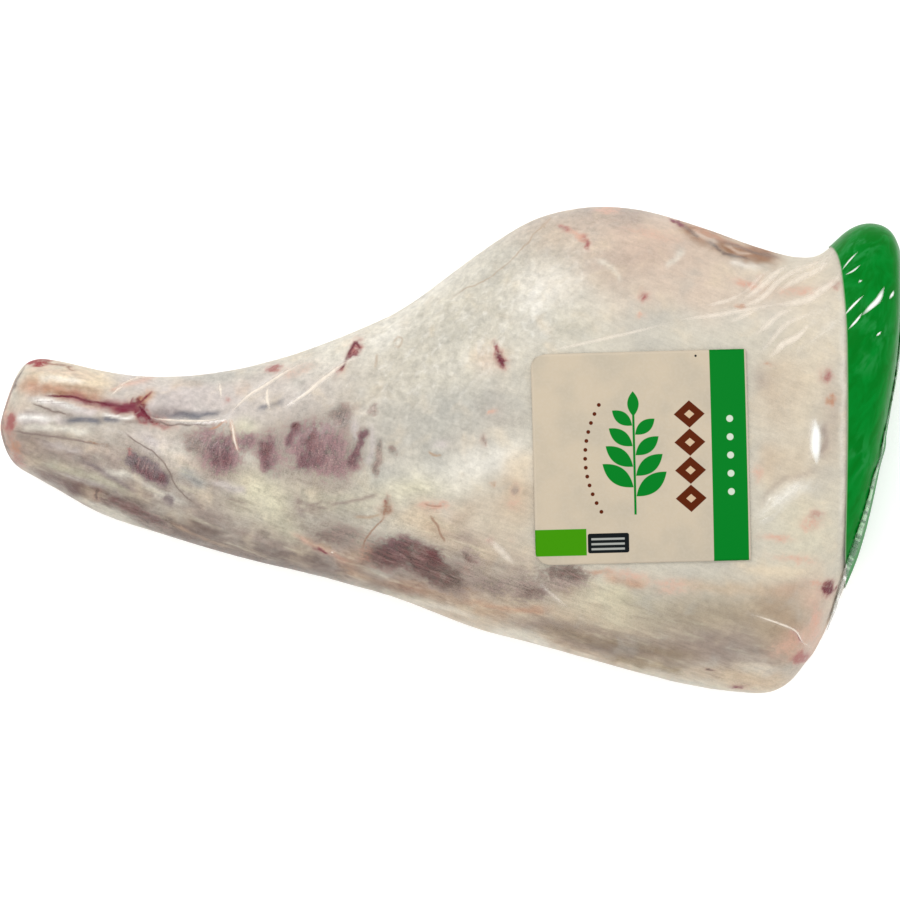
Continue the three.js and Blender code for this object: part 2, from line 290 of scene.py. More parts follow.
# Marks on the fat, each laid over those before it. An oval has its place, its reach, its turn in
# degrees, its colour and its strength; a streak has the points it runs through and its width instead.
fat_marks = [
    # greyer washes over the shank and the knee, and darker ones along the lower flank: partly the thinner
    # fat's colour, partly painted shade where the leg turns under
    ((-150, -2), (60, 15), -12, haze, 0.75), ((-100, -14), (50, 20), -18, haze, 0.6),
    ((-52, 2), (30, 22), 0, haze, 0.6), ((-32, -50), (40, 10), -18, fog, 0.85),
    ((24, -62), (26, 9), -12, fog, 0.8), ((10, -74), (40, 5), -16, buff, 0.7),
    ((60, -78), (40, 12), -14, buff, 0.8), ((104, -90), (44, 10), -6, haze, 0.85),
    ((146, -74), (22, 16), 0, tan, 0.8), ((-146, -8), (34, 7), -24, haze, 0.6),
    ((-103, 0), (15, 11), -34, haze, 0.8), ((-84, 2), (10, 9), 0, haze, 0.7),
    ((-58, 2), (20, 15), -10, haze, 0.7), ((-72, -40), (24, 6), -16, haze, 0.8),
    ((-6, -33), (14, 7), -20, tan, 0.8), ((60, 100), (44, 7), 4, haze, 0.5),
    # the shank's and knee's upper side, the crown and the rump
    ((-118, 25), (44, 12), -2, pearl, 0.9), ((-64, 30), (28, 13), 20, pearl, 0.5),
    ((-46, 46), (26, 9), 24, milk, 0.8), ((-26, 53), (9, 4), 30, chalk, 0.4),
    ((-8, 70), (26, 6), 40, milk, 0.9), ((44, 69), (22, 11), 20, milk, 0.9),
    ((38, 70), (12, 7), 10, chalk, 0.4), ((42, 86), (14, 6), -6, dove, 0.5), ((45, 92), (7, 6), 0, buff, 0.4),
    ((88, 90), (42, 20), -8, blush, 1), ((84, 84), (30, 10), 0, haze, 0.25),
    ((104, 70), (30, 11), 0, blush, 0.5), ((76, 107), (40, 6), 0, haze, 0.65),
    ((50, 55), (10, 6), 0, sage, 0.5), ((90, 58), (14, 7), 6, dove, 0.5), ((20, 80), (12, 7), 40, dove, 0.35),
    ((-30, -10), (10, 7), 0, dove, 1), ((2, 40), (12, 7), 20, milk, 0.5), ((72, 80), (12, 8), 0, haze, 0.35),
    ((14, 60), (10, 6), 30, dove, 0.3), ((-4, 52), (12, 5), 10, dove, 0.4),
    ((142, 68), (26, 12), 6, blush, 0.35), ((142, 60), (24, 6), 6, milk, 0.4),
    ((160, 22), (16, 60), 0, cream, 0.4), ((168, 14), (6, 22), 0, haze, 0.5),
    ((144, 26), (10, 18), -10, buff, 0.6), ((150, -8), (10, 12), 0, buff, 0.4),
    ((156, -36), (16, 18), 0, moss, 0.5),
    # the grey and cream fields before the label
    ((2, 16), (30, 12), 4, dove, 0.8), ((22, 16), (9, 10), 0, haze, 0.3), ((5, 3), (9, 5), 10, haze, 0.3),
    ((-14, 3), (18, 8), 0, dove, 0.6), ((-4, 2.4), (3, 2), 0, pearl, 0.8), ((8, -9), (34, 9), 10, milk, 0.9),
    ((18, -3), (14, 7), 8, chalk, 0.35), ((-16, -18), (14, 7), 0, moss, 0.8),
    ((-16, -31), (10, 4.4), -10, cream, 0.6), ((26, -28), (14, 14), 0, buff, 0.6),
    ((14, -46), (18, 9), -20, buff, 0.7),
    ((-2, -29), (3, 4), 0, milk, 0.5), ((7, -39), (8, 3), -10, haze, 0.7),
    ((-50, -24), (24, 9), -4, sage, 0.85), ((-56, -30), (12, 6), -10, haze, 0.5),
    # the calf and the shank's lower side
    ((-88, -18), (12, 10), -30, moss, 0.9), ((-78, -28), (9, 9), -40, moss, 0.8),
    ((-90, 10), (5, 4), -20, moss, 0.8), ((-90, -3), (6, 4), -20, milk, 0.6),
    ((-70, -36), (8, 6), -30, sage, 0.8), ((-130, 4), (8, 5), -30, pearl, 0.9),
    ((-122, -2), (7, 5), -36, milk, 0.7), ((-116, -7), (10, 3), -34, blush, 0.6),
    ((-189, -1), (8, 10), 0, haze, 0.7), ((-174, -7), (20, 8), -22, fog, 0.8),
    ([(-186, -2), (-174, -8), (-160, -12), (-144, -18), (-131, -24)], 5, sage, 0.9),
    ((-150, -8), (10, 4), -30, fog, 0.4), ((-110, -30), (20, 5), -22, fog, 0.8),
    ([(-184, -8), (-171, -15), (-160, -19.6), (-144, -24), (-132, -30), (-118, -35), (-99, -40.4)],
     8, umber, 1),
    ([(-168, -16), (-156, -19.4), (-146, -23)], 5, umber, 0.8),
    ([(-150, -25), (-140, -30), (-124, -37), (-100, -45), (-78, -51), (-50, -58)], 8, umber, 0.9),
    ([(-104, -41), (-78, -46.5), (-56, -52.5), (-30, -60)], 9, umber, 0.8),
    ([(-176, -10), (-163, -13.4), (-150, -18)], 2, pearl, 0.5),
    ([(-166, -21), (-158, -24.6), (-149, -28)], 1.6, milk, 0.5),
    ([(-127, -31.6), (-118, -36), (-108, -40), (-96, -44)], 1.6, tan, 0.7),
    ([(-119, -30.4), (-111, -34), (-98, -39)], 3.6, umber, 0.9),
    ([(-98, -36), (-84, -40), (-70, -46)], 3, haze, 0.8), ((-66, -49), (16, 4), -18, umber, 0.65),
    ([(-168, -3.4), (-160, -6), (-150, -12), (-141, -17), (-133, -20.6)], 2, ash, 0.9),
    ([(-156, -6), (-149, -10), (-140, -12.6), (-131, -18), (-122, -22), (-114, -26)], 4, milk, 0.9),
    ([(-137, -19), (-131, -21)], 2.4, ash, 0.9), ([(-128, -20.8), (-121, -23.4)], 3.2, ash, 1),
    ([(-121, -7), (-115, -12), (-106, -18)], 6, dove, 0.9),
    ([(-118, -11), (-110, -16), (-103, -20)], 3, slate, 0.35),
    ([(-101, -20.6), (-95, -22.6), (-88, -24.4)], 2, fog, 0.6),
    ([(-108, -14), (-98, -16.7), (-88, -19)], 4, pearl, 0.8), ([(-112, -25), (-108, -27)], 3, fog, 0.7),
    ([(-86, -35.6), (-78, -39)], 3, umber, 0.5), ((-62, -26), (6, 3), -6, haze, 0.6),
    ([(-68, -18), (-66, -26), (-58, -30)], 3, haze, 0.5),
    ([(-58, -21), (-50, -24), (-40, -21.6), (-30, -19.4)], 2, haze, 0.6),
    ([(-69, -21.6), (-63, -24), (-55, -23)], 1.2, fog, 0.8),
    ([(-67, -27.6), (-61, -25.6), (-53, -26.4)], 1.2, fog, 0.7),
    ([(-66, -20), (-67, -26), (-63, -31)], 1.6, haze, 0.8),
    # the hock: its cream upper side, two bare tendons and the grooves between them; the chalk streaks along
    # the tendons are painted highlights and the slate in the grooves is painted shade
    ([(-194, 32), (-176, 33), (-160, 31), (-144, 27)], 12, cream, 0.95),
    ([(-190, 35.6), (-174, 35), (-156, 31)], 3, blush, 0.7),
    ([(-184, 32), (-172, 31), (-160, 28.6)], 3.4, chalk, 0.5),
    ([(-194, 28), (-186, 28), (-173, 26), (-160, 24), (-148, 22.6)], 5, rust, 0.95),
    ((-186, 28), (6, 4), -10, rust, 0.7), ([(-180, 26.6), (-168, 24.6), (-156, 22.6)], 1.6, sienna, 0.8),
    ([(-176, 29.6), (-164, 27.6), (-152, 25)], 1.4, tan, 0.8),
    ([(-152, 25.6), (-146, 29), (-140, 32)], 2, peach, 0.7), ((-190, 19), (6, 5), 30, blush, 0.6),
    ([(-178, 24.6), (-164, 22), (-157, 20), (-147, 19.4), (-134, 19.4)], 5, rose, 0.9),
    ([(-166, 21.8), (-157, 20), (-147, 19.2), (-137, 19.2)], 3, claret, 1.2),
    ([(-189, 22.8), (-180, 21.8), (-171, 19.4), (-160, 17.2), (-150, 15.6)], 4.4, pearl, 1),
    ([(-188, 22.6), (-178, 21.6), (-170, 19.6), (-160, 17.4)], 1.8, chalk, 0.8),
    ([(-178, 23.4), (-166, 20.6), (-154, 18.2)], 1.6, blush, 0.8),
    ([(-184, 20), (-173, 16.4), (-164, 15)], 1.8, fog, 0.7),
    ([(-197, 14), (-182, 13.8), (-168, 13)], 4.4, pearl, 1),
    ([(-195, 14.4), (-184, 14.2), (-172, 13.8)], 2, chalk, 0.9), ([(-190, 16.6), (-180, 16.4)], 2, ash, 0.4),
    ([(-174, 12.6), (-162, 13.4), (-151, 13.2), (-142, 13.6)], 2.8, slate, 1.1),
    ([(-156, 15.6), (-148, 15.2), (-138, 14.2)], 1.2, chalk, 1),
    ([(-146, 12.4), (-138, 13.2), (-130, 12.6)], 2, fog, 0.6),
    ([(-192, 10.6), (-178, 9.8), (-164, 8), (-156, 7)], 3.4, milk, 0.9),
    ([(-186, 4.4), (-172, 1.6), (-160, -1)], 3.4, pearl, 0.7), ([(-160, 2), (-150, -2)], 3, blush, 0.5),
    ([(-172, -0.4), (-165, -3), (-158, -5.4)], 3, fog, 0.7),
    # the shank's upper side and the groove along it, with painted shade in the groove beside the pleat
    ([(-146, 28), (-138, 31), (-130, 33)], 2.4, peach, 0.6),
    ([(-140, 21), (-134, 24.6), (-130.6, 28)], 4, rust, 0.9), ((-131.6, 19.6), (2, 2.6), -20, pearl, 0.7),
    ((-130, 15.4), (3, 2), -20, ash, 0.8), ((-120, 24), (12, 5), 4, pearl, 0.7),
    ([(-126, 28), (-118, 30), (-108, 30)], 3, blush, 0.7),
    ([(-131, 14.4), (-120, 15.6), (-110, 16), (-99, 17.4)], 3, slate, 1),
    ([(-87, 18.4), (-81, 19.8), (-72, 22.4)], 2.6, slate, 0.8),
    ([(-126, 30), (-104, 33), (-82, 38)], 5, dove, 0.6), ([(-96, 26), (-88, 30)], 5, blush, 0.5),
    # between the windows of the knee
    ([(-49, 19), (-50, 15), (-47, 12), (-46.4, 5)], 5, haze, 0.9),
    ([(-50, 18), (-44, 18), (-38, 18)], 3.4, haze, 0.6), ([(-43, 15), (-41.4, 9), (-42.4, 3)], 3, pearl, 0.9),
    ([(-35, 12), (-34, 2), (-37, -8)], 2.6, pearl, 0.8), ([(-74, -8), (-76.4, -13)], 2.4, fog, 0.7),
    ([(-66, -14), (-52, -17), (-40, -13)], 5, haze, 0.5),
    # the lower flank
    ([(-72, -36), (-62, -41), (-50, -47), (-41, -53)], 2.6, peach, 0.7),
    ([(-66, -38), (-58, -42), (-50, -45)], 3, tan, 0.7),
    ([(-54, -48), (-41, -56), (-23, -61), (3, -65)], 2.6, tan, 0.8),
    ([(-30, -58), (-10, -64), (14, -70)], 5, tan, 0.7),
    ([(-34, -63.6), (-16, -67.4), (4, -72.6), (17, -77)], 2.4, milk, 0.4),
    ([(-44, -59), (-26, -64), (-6, -68)], 2, sage, 0.6),
    ([(2, -66), (17, -69.6), (34, -71), (48, -70)], 3.4, rust, 0.7),
    ([(10, -58), (22, -64), (34, -66)], 5, buff, 0.5),
    ([(14, -74), (34, -77.7), (48, -79.4), (60, -84), (75, -86.6), (92, -91), (116, -95)], 6, fog, 0.7),
    ([(30, -78), (48, -80.4), (66, -85.6), (92, -89), (120, -91)], 8, olive, 0.7),
    ([(28, -74), (60, -79), (90, -86)], 6, fog, 0.5), ([(36, -82), (60, -90), (84, -98)], 4, tan, 0.6),
    ([(40, -82), (66, -88), (92, -92)], 5, umber, 0.5), ([(14, -79), (34, -84), (50, -89)], 3, milk, 0.5),
    ((72, -66), (16, 9), -6, moss, 0.95), ((112, -73), (40, 12), -4, olive, 0.65),
    ((120, -86), (24, 7), -8, fog, 0.6), ((136, -89), (6, 3), -10, umber, 0.35),
    ((128, -101), (30, 4), -5, buff, 0.8), ((138, -97), (8, 3), -10, milk, 0.6),
    ([(118, -50), (140, -53), (164, -53)], 5, cream, 0.6), ([(96, -57), (120, -61), (150, -62)], 5, buff, 0.6),
    ([(66, -55), (78, -58), (88, -60)], 5, rust, 0.7), ((162, -82), (5, 14), -24, peach, 0.4),
    # the strip of cut meat at the rump's edge; then the fold under the label, with painted shade in its
    # groove, painted light on the ridge below it and painted shade beside the glint
    ([(96, 104), (107.8, 97.6), (115.6, 94), (123.5, 90.6), (131.3, 88), (139, 86.6), (152, 85)],
     8.4, sienna, 1.2),
    ([(106, 98), (113, 94.4), (120, 90.6)], 2.6, blush, 0.9),
    ([(110, 96.6), (118, 94.4), (126, 91.6), (136, 88.4)], 1.6, rust, 0.8),
    ([(118, 93), (128, 90.4), (140, 86)], 1.2, umber, 0.6),
    ([(112, 94.2), (117, 90.4), (121, 87), (129, 85.4), (135, 83)], 1.4, umber, 1),
    ([(103, 100), (107, 96.6), (111, 93.4)], 1.6, umber, 0.8),
    ([(120, 91.6), (128, 88), (135, 86.4)], 1.2, blush, 0.7),
    ([(117, 95.6), (126, 92.4), (134, 89.4)], 1.1, buff, 0.7),
    ([(128, 89.6), (138, 87), (148, 85)], 1.6, umber, 0.5),
    ([(122, 84), (130, 82), (140, 80.6)], 3, chalk, 0.4), ([(104, 90), (99, 84), (94, 80)], 2.4, milk, 0.6),
    ([(63, 84.7), (71, 80.2), (76.4, 73.1)], 2.4, milk, 0.6),
    ([(134, -28), (141, -17), (149, -12.4), (158, -9.6), (167, -8)], 3, haze, 0.4),
    ([(140, -26), (150, -18), (162, -14)], 6, milk, 0.8), ([(164, 14), (164.6, 4), (164, -6)], 3.4, haze, 0.8),
    ((138, 31), (5, 6), 0, haze, 0.5),
    # darker along the lower edge and the flank: partly the lean's colour under thinner fat, partly painted
    # shade where the leg turns under
    ([(-188, -7), (-174, -15), (-160, -20.4), (-148, -26)], 4.4, dusk, 0.7),
    ((-184, 4.4), (9, 4.4), -10, fog, 0.8),
    ([(-176, -12), (-164, -17), (-150, -23), (-139, -27.6), (-124, -31)], 7, dusk, 0.55),
    ((-126, 17.4), (8, 2.8), 4, ash, 0.6), ([(-150, -24), (-139, -28.4), (-124, -32)], 5, umber, 0.7),
    ([(-118, -34), (-106, -39), (-94, -43)], 5, umber, 0.7),
    ([(-42, -57), (-28, -60.6), (-12, -62)], 5, umber, 0.7), ((4, -62), (9, 4), -14, bark, 0.7),
    ((-17, -61), (10, 4), -10, bark, 0.8), ((-39, -50), (8, 5), -14, bark, 0.8),
    ((6, -50), (8, 5), -20, fog, 0.7), ((28, -50), (8, 6), 0, haze, 0.6), ((50, -61), (9, 4), -4, bark, 0.6),
    ([(8, -70), (17, -73), (28, -75)], 5, tan, 0.8), ([(66, -91), (84, -95), (108, -98)], 5, olive, 0.8),
    ((28, -16), (9, 9), 0, buff, 0.8), ((28, -5), (7, 5), 0, cream, 0.6), ((-6, -6), (8, 5), 0, dove, 0.6),
    ((39, 54), (9, 9), 0, dove, 0.55), ((17, 38.4), (7, 6), 0, blush, 0.6),
    ((139, -105), (14, 4), -4, buff, 0.8), ((161, -62), (6, 6), 0, peach, 0.5),
    ((150, -83), (7, 6), 0, rust, 0.45), ((150, -61), (8, 4), 0, rust, 0.4), ((139, -6), (6, 7), 0, buff, 0.6),
    ((-139, -17), (7, 4), -30, fog, 0.6), ((-128, -17), (6, 3.4), -30, fog, 0.5),
    ((5, -28), (8, 5), 0, tan, 0.5),
    ([(170, 86), (171.6, 72), (172.6, 52), (172.8, 12), (172.6, -38), (173.4, -56)], 2, milk, 0.7),
]

# Windows in the fat, written alike: the lean's colour and how bare it lies. Ribs of fat have no colour.
lean_marks = [
    # the fan of the shank's muscles
    ((-104, 1), (12, 8), -36, mauve, 1), ((-100, -4), (6, 8), -30, mauve, 0.9),
    ([(-99, 8), (-99, 0), (-100, -9)], 5, plum, 0.8), ([(-104.6, 5), (-104, -1), (-103, -8)], 4, plum, 0.7),
    ((-113, 3), (5, 3), -30, fog, 0.9), ([(-97, 12), (-101, 3), (-107, -6)], 1.4, None, 0.3),
    ([(-99, 12), (-106, 5), (-113, -1)], 1.4, None, 0.35),
    ([(-96, 10), (-96.4, 0), (-97, -8)], 1.4, None, 0.3),
    # the knee
    ((-89.4, 3.8), (5, 3.4), -10, mauve, 0.9), ((-84.6, 7), (3, 2.4), 0, mauve, 0.2),
    ((-79.6, -2), (5, 9), 0, mauve, 0.75),
    ([(-77.4, 7), (-80.4, 1.6), (-81.6, -4), (-80, -11)], 4.4, plum, 0.85),
    ((-81, 0), (1.8, 2.6), 0, wine, 0.6), ((-59, 1), (15, 12), -20, mauve, 1),
    ([(-66.8, 12.6), (-70, 7), (-72, 0)], 3.4, plum, 0.9), ([(-66.6, 12), (-68.6, 9)], 2, wine, 0.7),
    ((-61.6, 5), (3.6, 4.6), -20, wine, 0.55), ([(-60, 4), (-64, -2), (-68, -5)], 4, plum, 0.6),
    ([(-70, -5), (-62, -5.6), (-52, -5)], 6, plum, 0.7), ((-52, 0), (6, 8), 0, mauve, 0.6),
    ((-48, -8), (8, 4), 10, mauve, 0.5), ([(-71, -8), (-66, -11), (-60, -15)], 2, None, 0.4),
    ([(-70, 9), (-65, 0), (-58, -11)], 1.6, None, 0.3), ([(-62, 14), (-55, 4), (-50, -9)], 1.8, None, 0.35),
    ([(-36.4, 12), (-38.7, 4.2), (-41.3, -1.1), (-45, -9)], 4.4, plum, 0.9),
    ((-47.6, 15.6), (4.4, 4.6), 20, fog, 1.1), ([(-33, 22), (-35, 14)], 3, haze, 0.7),
    ([(-31.4, 7), (-31.6, -2.9), (-34, -11)], 3, haze, 0.9), ((-33, -8), (1.6, 3), -20, fog, 0.7),
    ((-24.9, 0.4), (2, 2.8), 0, fog, 0.8),
    # the shank's lower side
    ([(-147, 0), (-141, -5), (-134.6, -9), (-128, -13), (-121, -17.6)], 8, ash, 1.1),
    ([(-142, -4.6), (-136, -8.4), (-130, -12), (-124, -15.6)], 5, plum, 0.9),
    ([(-144, -1), (-136, -4.6), (-128, -9.6)], 4, ash, 0.8), ([(-139.6, -0.6), (-140.4, -7)], 2.4, ash, 0.6),
    ([(-135.6, -2.6), (-135, -10)], 2.6, ash, 0.6), ([(-130.6, -5), (-130, -13)], 2.6, ash, 0.6),
    ([(-143, 2), (-141.8, -4)], 1.4, rose, 0.5),
    ([(-157, -20), (-144, -25), (-132, -31), (-120, -35.6)], 6, dusk, 0.7),
    # the lower flank
    ((-54, -39), (9, 4), -16, umber, 0.6), ((-46, -37), (8, 4), -6, fog, 0.7),
    ((-36, -46), (6, 5), 0, rust, 0.5), ((-27, -47), (9, 6), -10, dusk, 1.1),
    ((-19, -44), (9, 5), -24, plum, 1), ((-10, -51), (13, 6.6), -34, dusk, 1.2),
    ((-29, -48.6), (4, 3.4), 0, dusk, 0.8), ((-6.4, -47.6), (4.4, 3), -24, wine, 0.9),
    ([(-18, -50), (-9, -54), (-3, -59)], 6, dusk, 0.9), ((0, -58), (6.4, 5), -30, umber, 1),
    ((-14.4, -45), (3, 1.6), -30, None, 0.4), ([(-28, -52), (-20, -57), (-9, -61)], 1.2, None, 0.4),
    ((9, -47), (6, 4), -30, haze, 0.7), ([(5, -44), (8, -48), (12, -50)], 2.4, umber, 0.6),
    ((10, -53), (6, 4), -20, haze, 0.5), ((18, -60.6), (9, 4), -10, fog, 0.7),
    ((33, -60), (10, 5), -14, haze, 0.75), ((36, -64), (8, 3.4), 14, umber, 0.65),
    ((51, -55), (10, 5), -4, haze, 0.7), ((51, -54.6), (10, 3.6), -4, umber, 0.7),
    ((50, -59), (8, 3.4), 0, haze, 0.5),
]

# Spots of blood and juice under the film.
blood_spots = [
    ((-42.4, 46), (3, 4.8), -30, rose, 1), ((-48.6, 35.6), (2, 3), -40, rose, 0.7),
    ((20, 45.6), (1.2, 3), 16, claret, 0.8), ((22.2, 40), (2.6, 4.4), 20, rose, 0.9),
    ((22.2, 40), (1.4, 3), 14, crimson, 1.2), ((84.9, 67.8), (3, 2.6), -20, rose, 0.8),
    ((83.5, 59.3), (2, 1.8), 0, peach, 0.8), ((50.2, 99.2), (3, 1.4), -20, rose, 0.9),
    ((56.5, 95.8), (4.6, 1.4), -36, peach, 0.9), ((60.2, 91.4), (1.5, 3.6), 14, rose, 0.8),
    ((70, 107), (6, 2), 0, peach, 0.7), ((88, 96), (14, 3), -12, peach, 0.4),
    ((-78.4, 36.4), (3.6, 1.8), 10, rose, 0.9), ((-68, 36), (10, 3), 20, peach, 0.4),
    ((-98.6, 22.4), (2, 1.6), 20, rose, 0.5), ((-137.4, 19.4), (3, 4), 0, crimson, 1.4),
    ((-135, 15.4), (5, 2.6), -24, claret, 0.9), ((-143, 18.6), (6, 2), 4, claret, 1),
    ((-134.6, 24), (1.8, 4), -34, rust, 0.9), ((-127, 12), (6, 2.4), -10, rose, 0.7),
    ((-183.6, 39.8), (5.4, 2), -4, cherry, 2), ((-172, 37.6), (8, 0.9), -14, bark, 0.9),
    ((-196.6, 9), (3.4, 12), 8, rose, 0.4), ((-194.6, 12), (3, 3.4), 0, rose, 1.2),
    ((-193, 1), (4, 3), -20, rust, 0.6), ((-192, -5), (5, 3), -45, rose, 0.5),
    ((167.4, -61), (3.4, 3.8), 0, rose, 1), ((167.6, -61), (2.4, 2.6), 0, crimson, 1.5),
    ((161, -58.6), (5, 1.3), -12, peach, 0.6), ((156, -92), (4.4, 2.6), 12, rose, 1.1),
    ((153.4, -82.4), (3.4, 1.2), -56, claret, 0.8), ((162, -76), (2.4, 10), 0, peach, 0.7),
    ((150, -86), (12, 5), 30, peach, 0.5), ((127.4, -105.2), (4.4, 1.2), 0, claret, 0.8),
    ((114.6, -97.3), (2.4, 0.9), -10, umber, 0.8), ((131, 73.4), (7, 2), -14, peach, 0.9),
    ((136, 76), (5, 1), 30, rose, 0.35), ((127.6, 63.4), (3, 1.2), -10, rust, 0.8),
    ((153.4, 70.4), (9, 2.4), 4, peach, 0.6), ((139.4, 38.4), (2.4, 1), 0, rust, 0.7),
    ((165.6, 32.3), (3, 3.4), 0, rose, 0.7), ((167.2, 22.2), (2.2, 2), -20, rust, 0.9),
    ((169.6, 72.6), (2.6, 2.4), -20, rose, 0.5), ((160.6, -28.6), (4, 3), 0, rose, 0.5),
    ((158, -33), (5, 3), 0, peach, 0.6), ((144, -38.6), (8, 1.8), -6, peach, 0.7),
    ((152, -48), (12, 2.4), -8, peach, 0.5), ((135, -10), (2.4, 4), 0, peach, 0.7),
    ((-7.4, -24.4), (5, 1.2), 0, rose, 0.6), ((-7.4, -24.8), (8, 3), 0, peach, 0.5),
    ((18.2, 16.6), (2.4, 1.2), 14, peach, 0.8), ((14.4, 4.4), (1.4, 2.8), 0, haze, 0.8),
    ((19, -15.4), (1.2, 1.3), 0, tan, 0.9), ((28.8, -17.4), (2, 2.8), 0, haze, 0.8),
    ((17.6, -40), (2, 1.8), 0, rose, 0.4), ((27, -40), (2, 1.8), 0, rose, 0.3),
    ((28, -24), (5, 3), 0, peach, 0.4), ((-27.8, -22.6), (1.5, 3), -20, claret, 0.7),
    ((-28.4, -26), (3, 4), -20, bark, 0.8), ((-58, -44.6), (6, 1.3), -28, claret, 0.6),
    ((7, -53), (2.4, 2.4), -20, rose, 0.3), ((66, -53.6), (6, 1.8), -10, rust, 0.5),
    ((80, -55), (9, 2.8), -8, peach, 0.5), ((98, -60), (10, 4), -4, peach, 0.5),
    ((-156.6, -19.8), (1.2, 3.2), -10, umber, 1), ((113, 96.4), (5, 1.4), -24, rust, 0.9),
    ((100.6, 101), (4, 1.3), -30, claret, 1.2),
]

# Tendons and muscles that stand up under the film, and grooves between them: points, width and rise.
swells = [
    ([(-196, 35), (-178, 32.5), (-160, 29), (-146, 25)], 8, 1.2),
    ([(-186, 26), (-168, 23.6), (-152, 20)], 2.4, -0.7),
    ([(-188, 23), (-175, 21.2), (-164, 19.8), (-152, 15.6)], 3.6, 0.9),
    ([(-186, 19.4), (-164, 16)], 1.6, -0.4),
    ([(-198, 13.6), (-181, 13.5), (-170, 13.4)], 3.8, 0.8), ([(-175, 11.4), (-150, 11.4)], 3, -0.6),
    ([(-196, 9.6), (-181, 8.4), (-164, 5.4)], 3.6, 0.5), ([(-128, 14.6), (-108, 16.2), (-96, 17.4)], 4, -0.6),
    ([(-176, -2), (-160, -8), (-148, -14), (-130, -22), (-108, -30)], 3, 0.5),
    ([(-80, -30), (-66, -38), (-52, -44), (-30, -54), (-8, -62)], 2.4, 0.5),
    ([(-137, 28), (-137, 19), (-131, 12)], 2.4, 0.6),
    ([(10, -70), (30, -75), (52, -79), (72, -84), (92, -90)], 2.4, -0.4),
]

# Folds of the bag, which the fat under it follows: where each runs, its width and its rise.
film_folds = [
    ([(-131, 14), (-120, 12.9), (-100.1, 13.7), (-95.7, 17.7), (-87.6, 24), (-78.7, 31), (-68.4, 37.2)],
     3, 0.6),
    ([(-75.7, 16.3), (-72.1, 20), (-65.5, 24.8), (-57.3, 30.3), (-49.2, 36.5), (-43, 42)], 3, 0.6),
    ([(105, 58), (117, 59.2), (134.6, 62.3), (153, 65), (163.6, 70.2), (170.7, 75.4), (172.5, 81)], 4, 0.4),
    ([(124, 65), (132, 66.2), (137.3, 72), (145.2, 79), (150, 81)], 4, 0.3),
    ([(133.7, 64.9), (139, 68.4), (143.5, 72.9), (154.8, 80), (162, 82.5)], 4, 0.25),
    ([(147, 71), (154, 75.4), (162, 79), (166.3, 82.5), (169.4, 87)], 4, 0.3),
    ([(134.4, 41.1), (140.5, 47.2), (145, 52.5), (151, 57), (162.4, 61.3), (172, 68)], 5, 0.4),
    ([(137.9, 53.4), (145, 59.5), (149.3, 61.3)], 4, 0.3),
    ([(143, 43), (151.5, 49), (157.2, 54.2), (164, 60)], 4, 0.5), ([(150, 40), (162, 50), (172, 60)], 5, 0.4),
    ([(134, -28), (141, -17), (149, -12.4), (158, -9.6), (167, -8)], 5, -1.0),
    ([(134, -36), (146, -22), (154, -17), (166, -14)], 7, 0.8),
    ([(160.4, 16), (160.8, 8), (160.6, 0), (161, -8)], 6, 1.1),
    ([(125, -69), (131.7, -71.9), (143.3, -75.8), (152.2, -79.7), (155.6, -84.7), (161, -88)], 2.6, 0.5),
    ([(88, -103), (91.9, -100.7), (98.8, -97), (105.6, -92.6)], 2.4, -0.6),
    ([(14, -38), (21.4, -42.9), (29.5, -51)], 3.4, 0.5),
    ([(36, -54), (39.6, -58), (43.6, -62.5), (52.7, -70.1)], 2.6, 0.5),
    ([(174, 40), (186, 46), (196, 54)], 4, -0.5), ([(176, 50), (186, 60), (194, 74)], 4, 0.7),
    ([(174, 58), (182, 68), (190, 84)], 3, 0.5), ([(178, -10), (188, -4), (197, 6)], 5, 0.6),
]

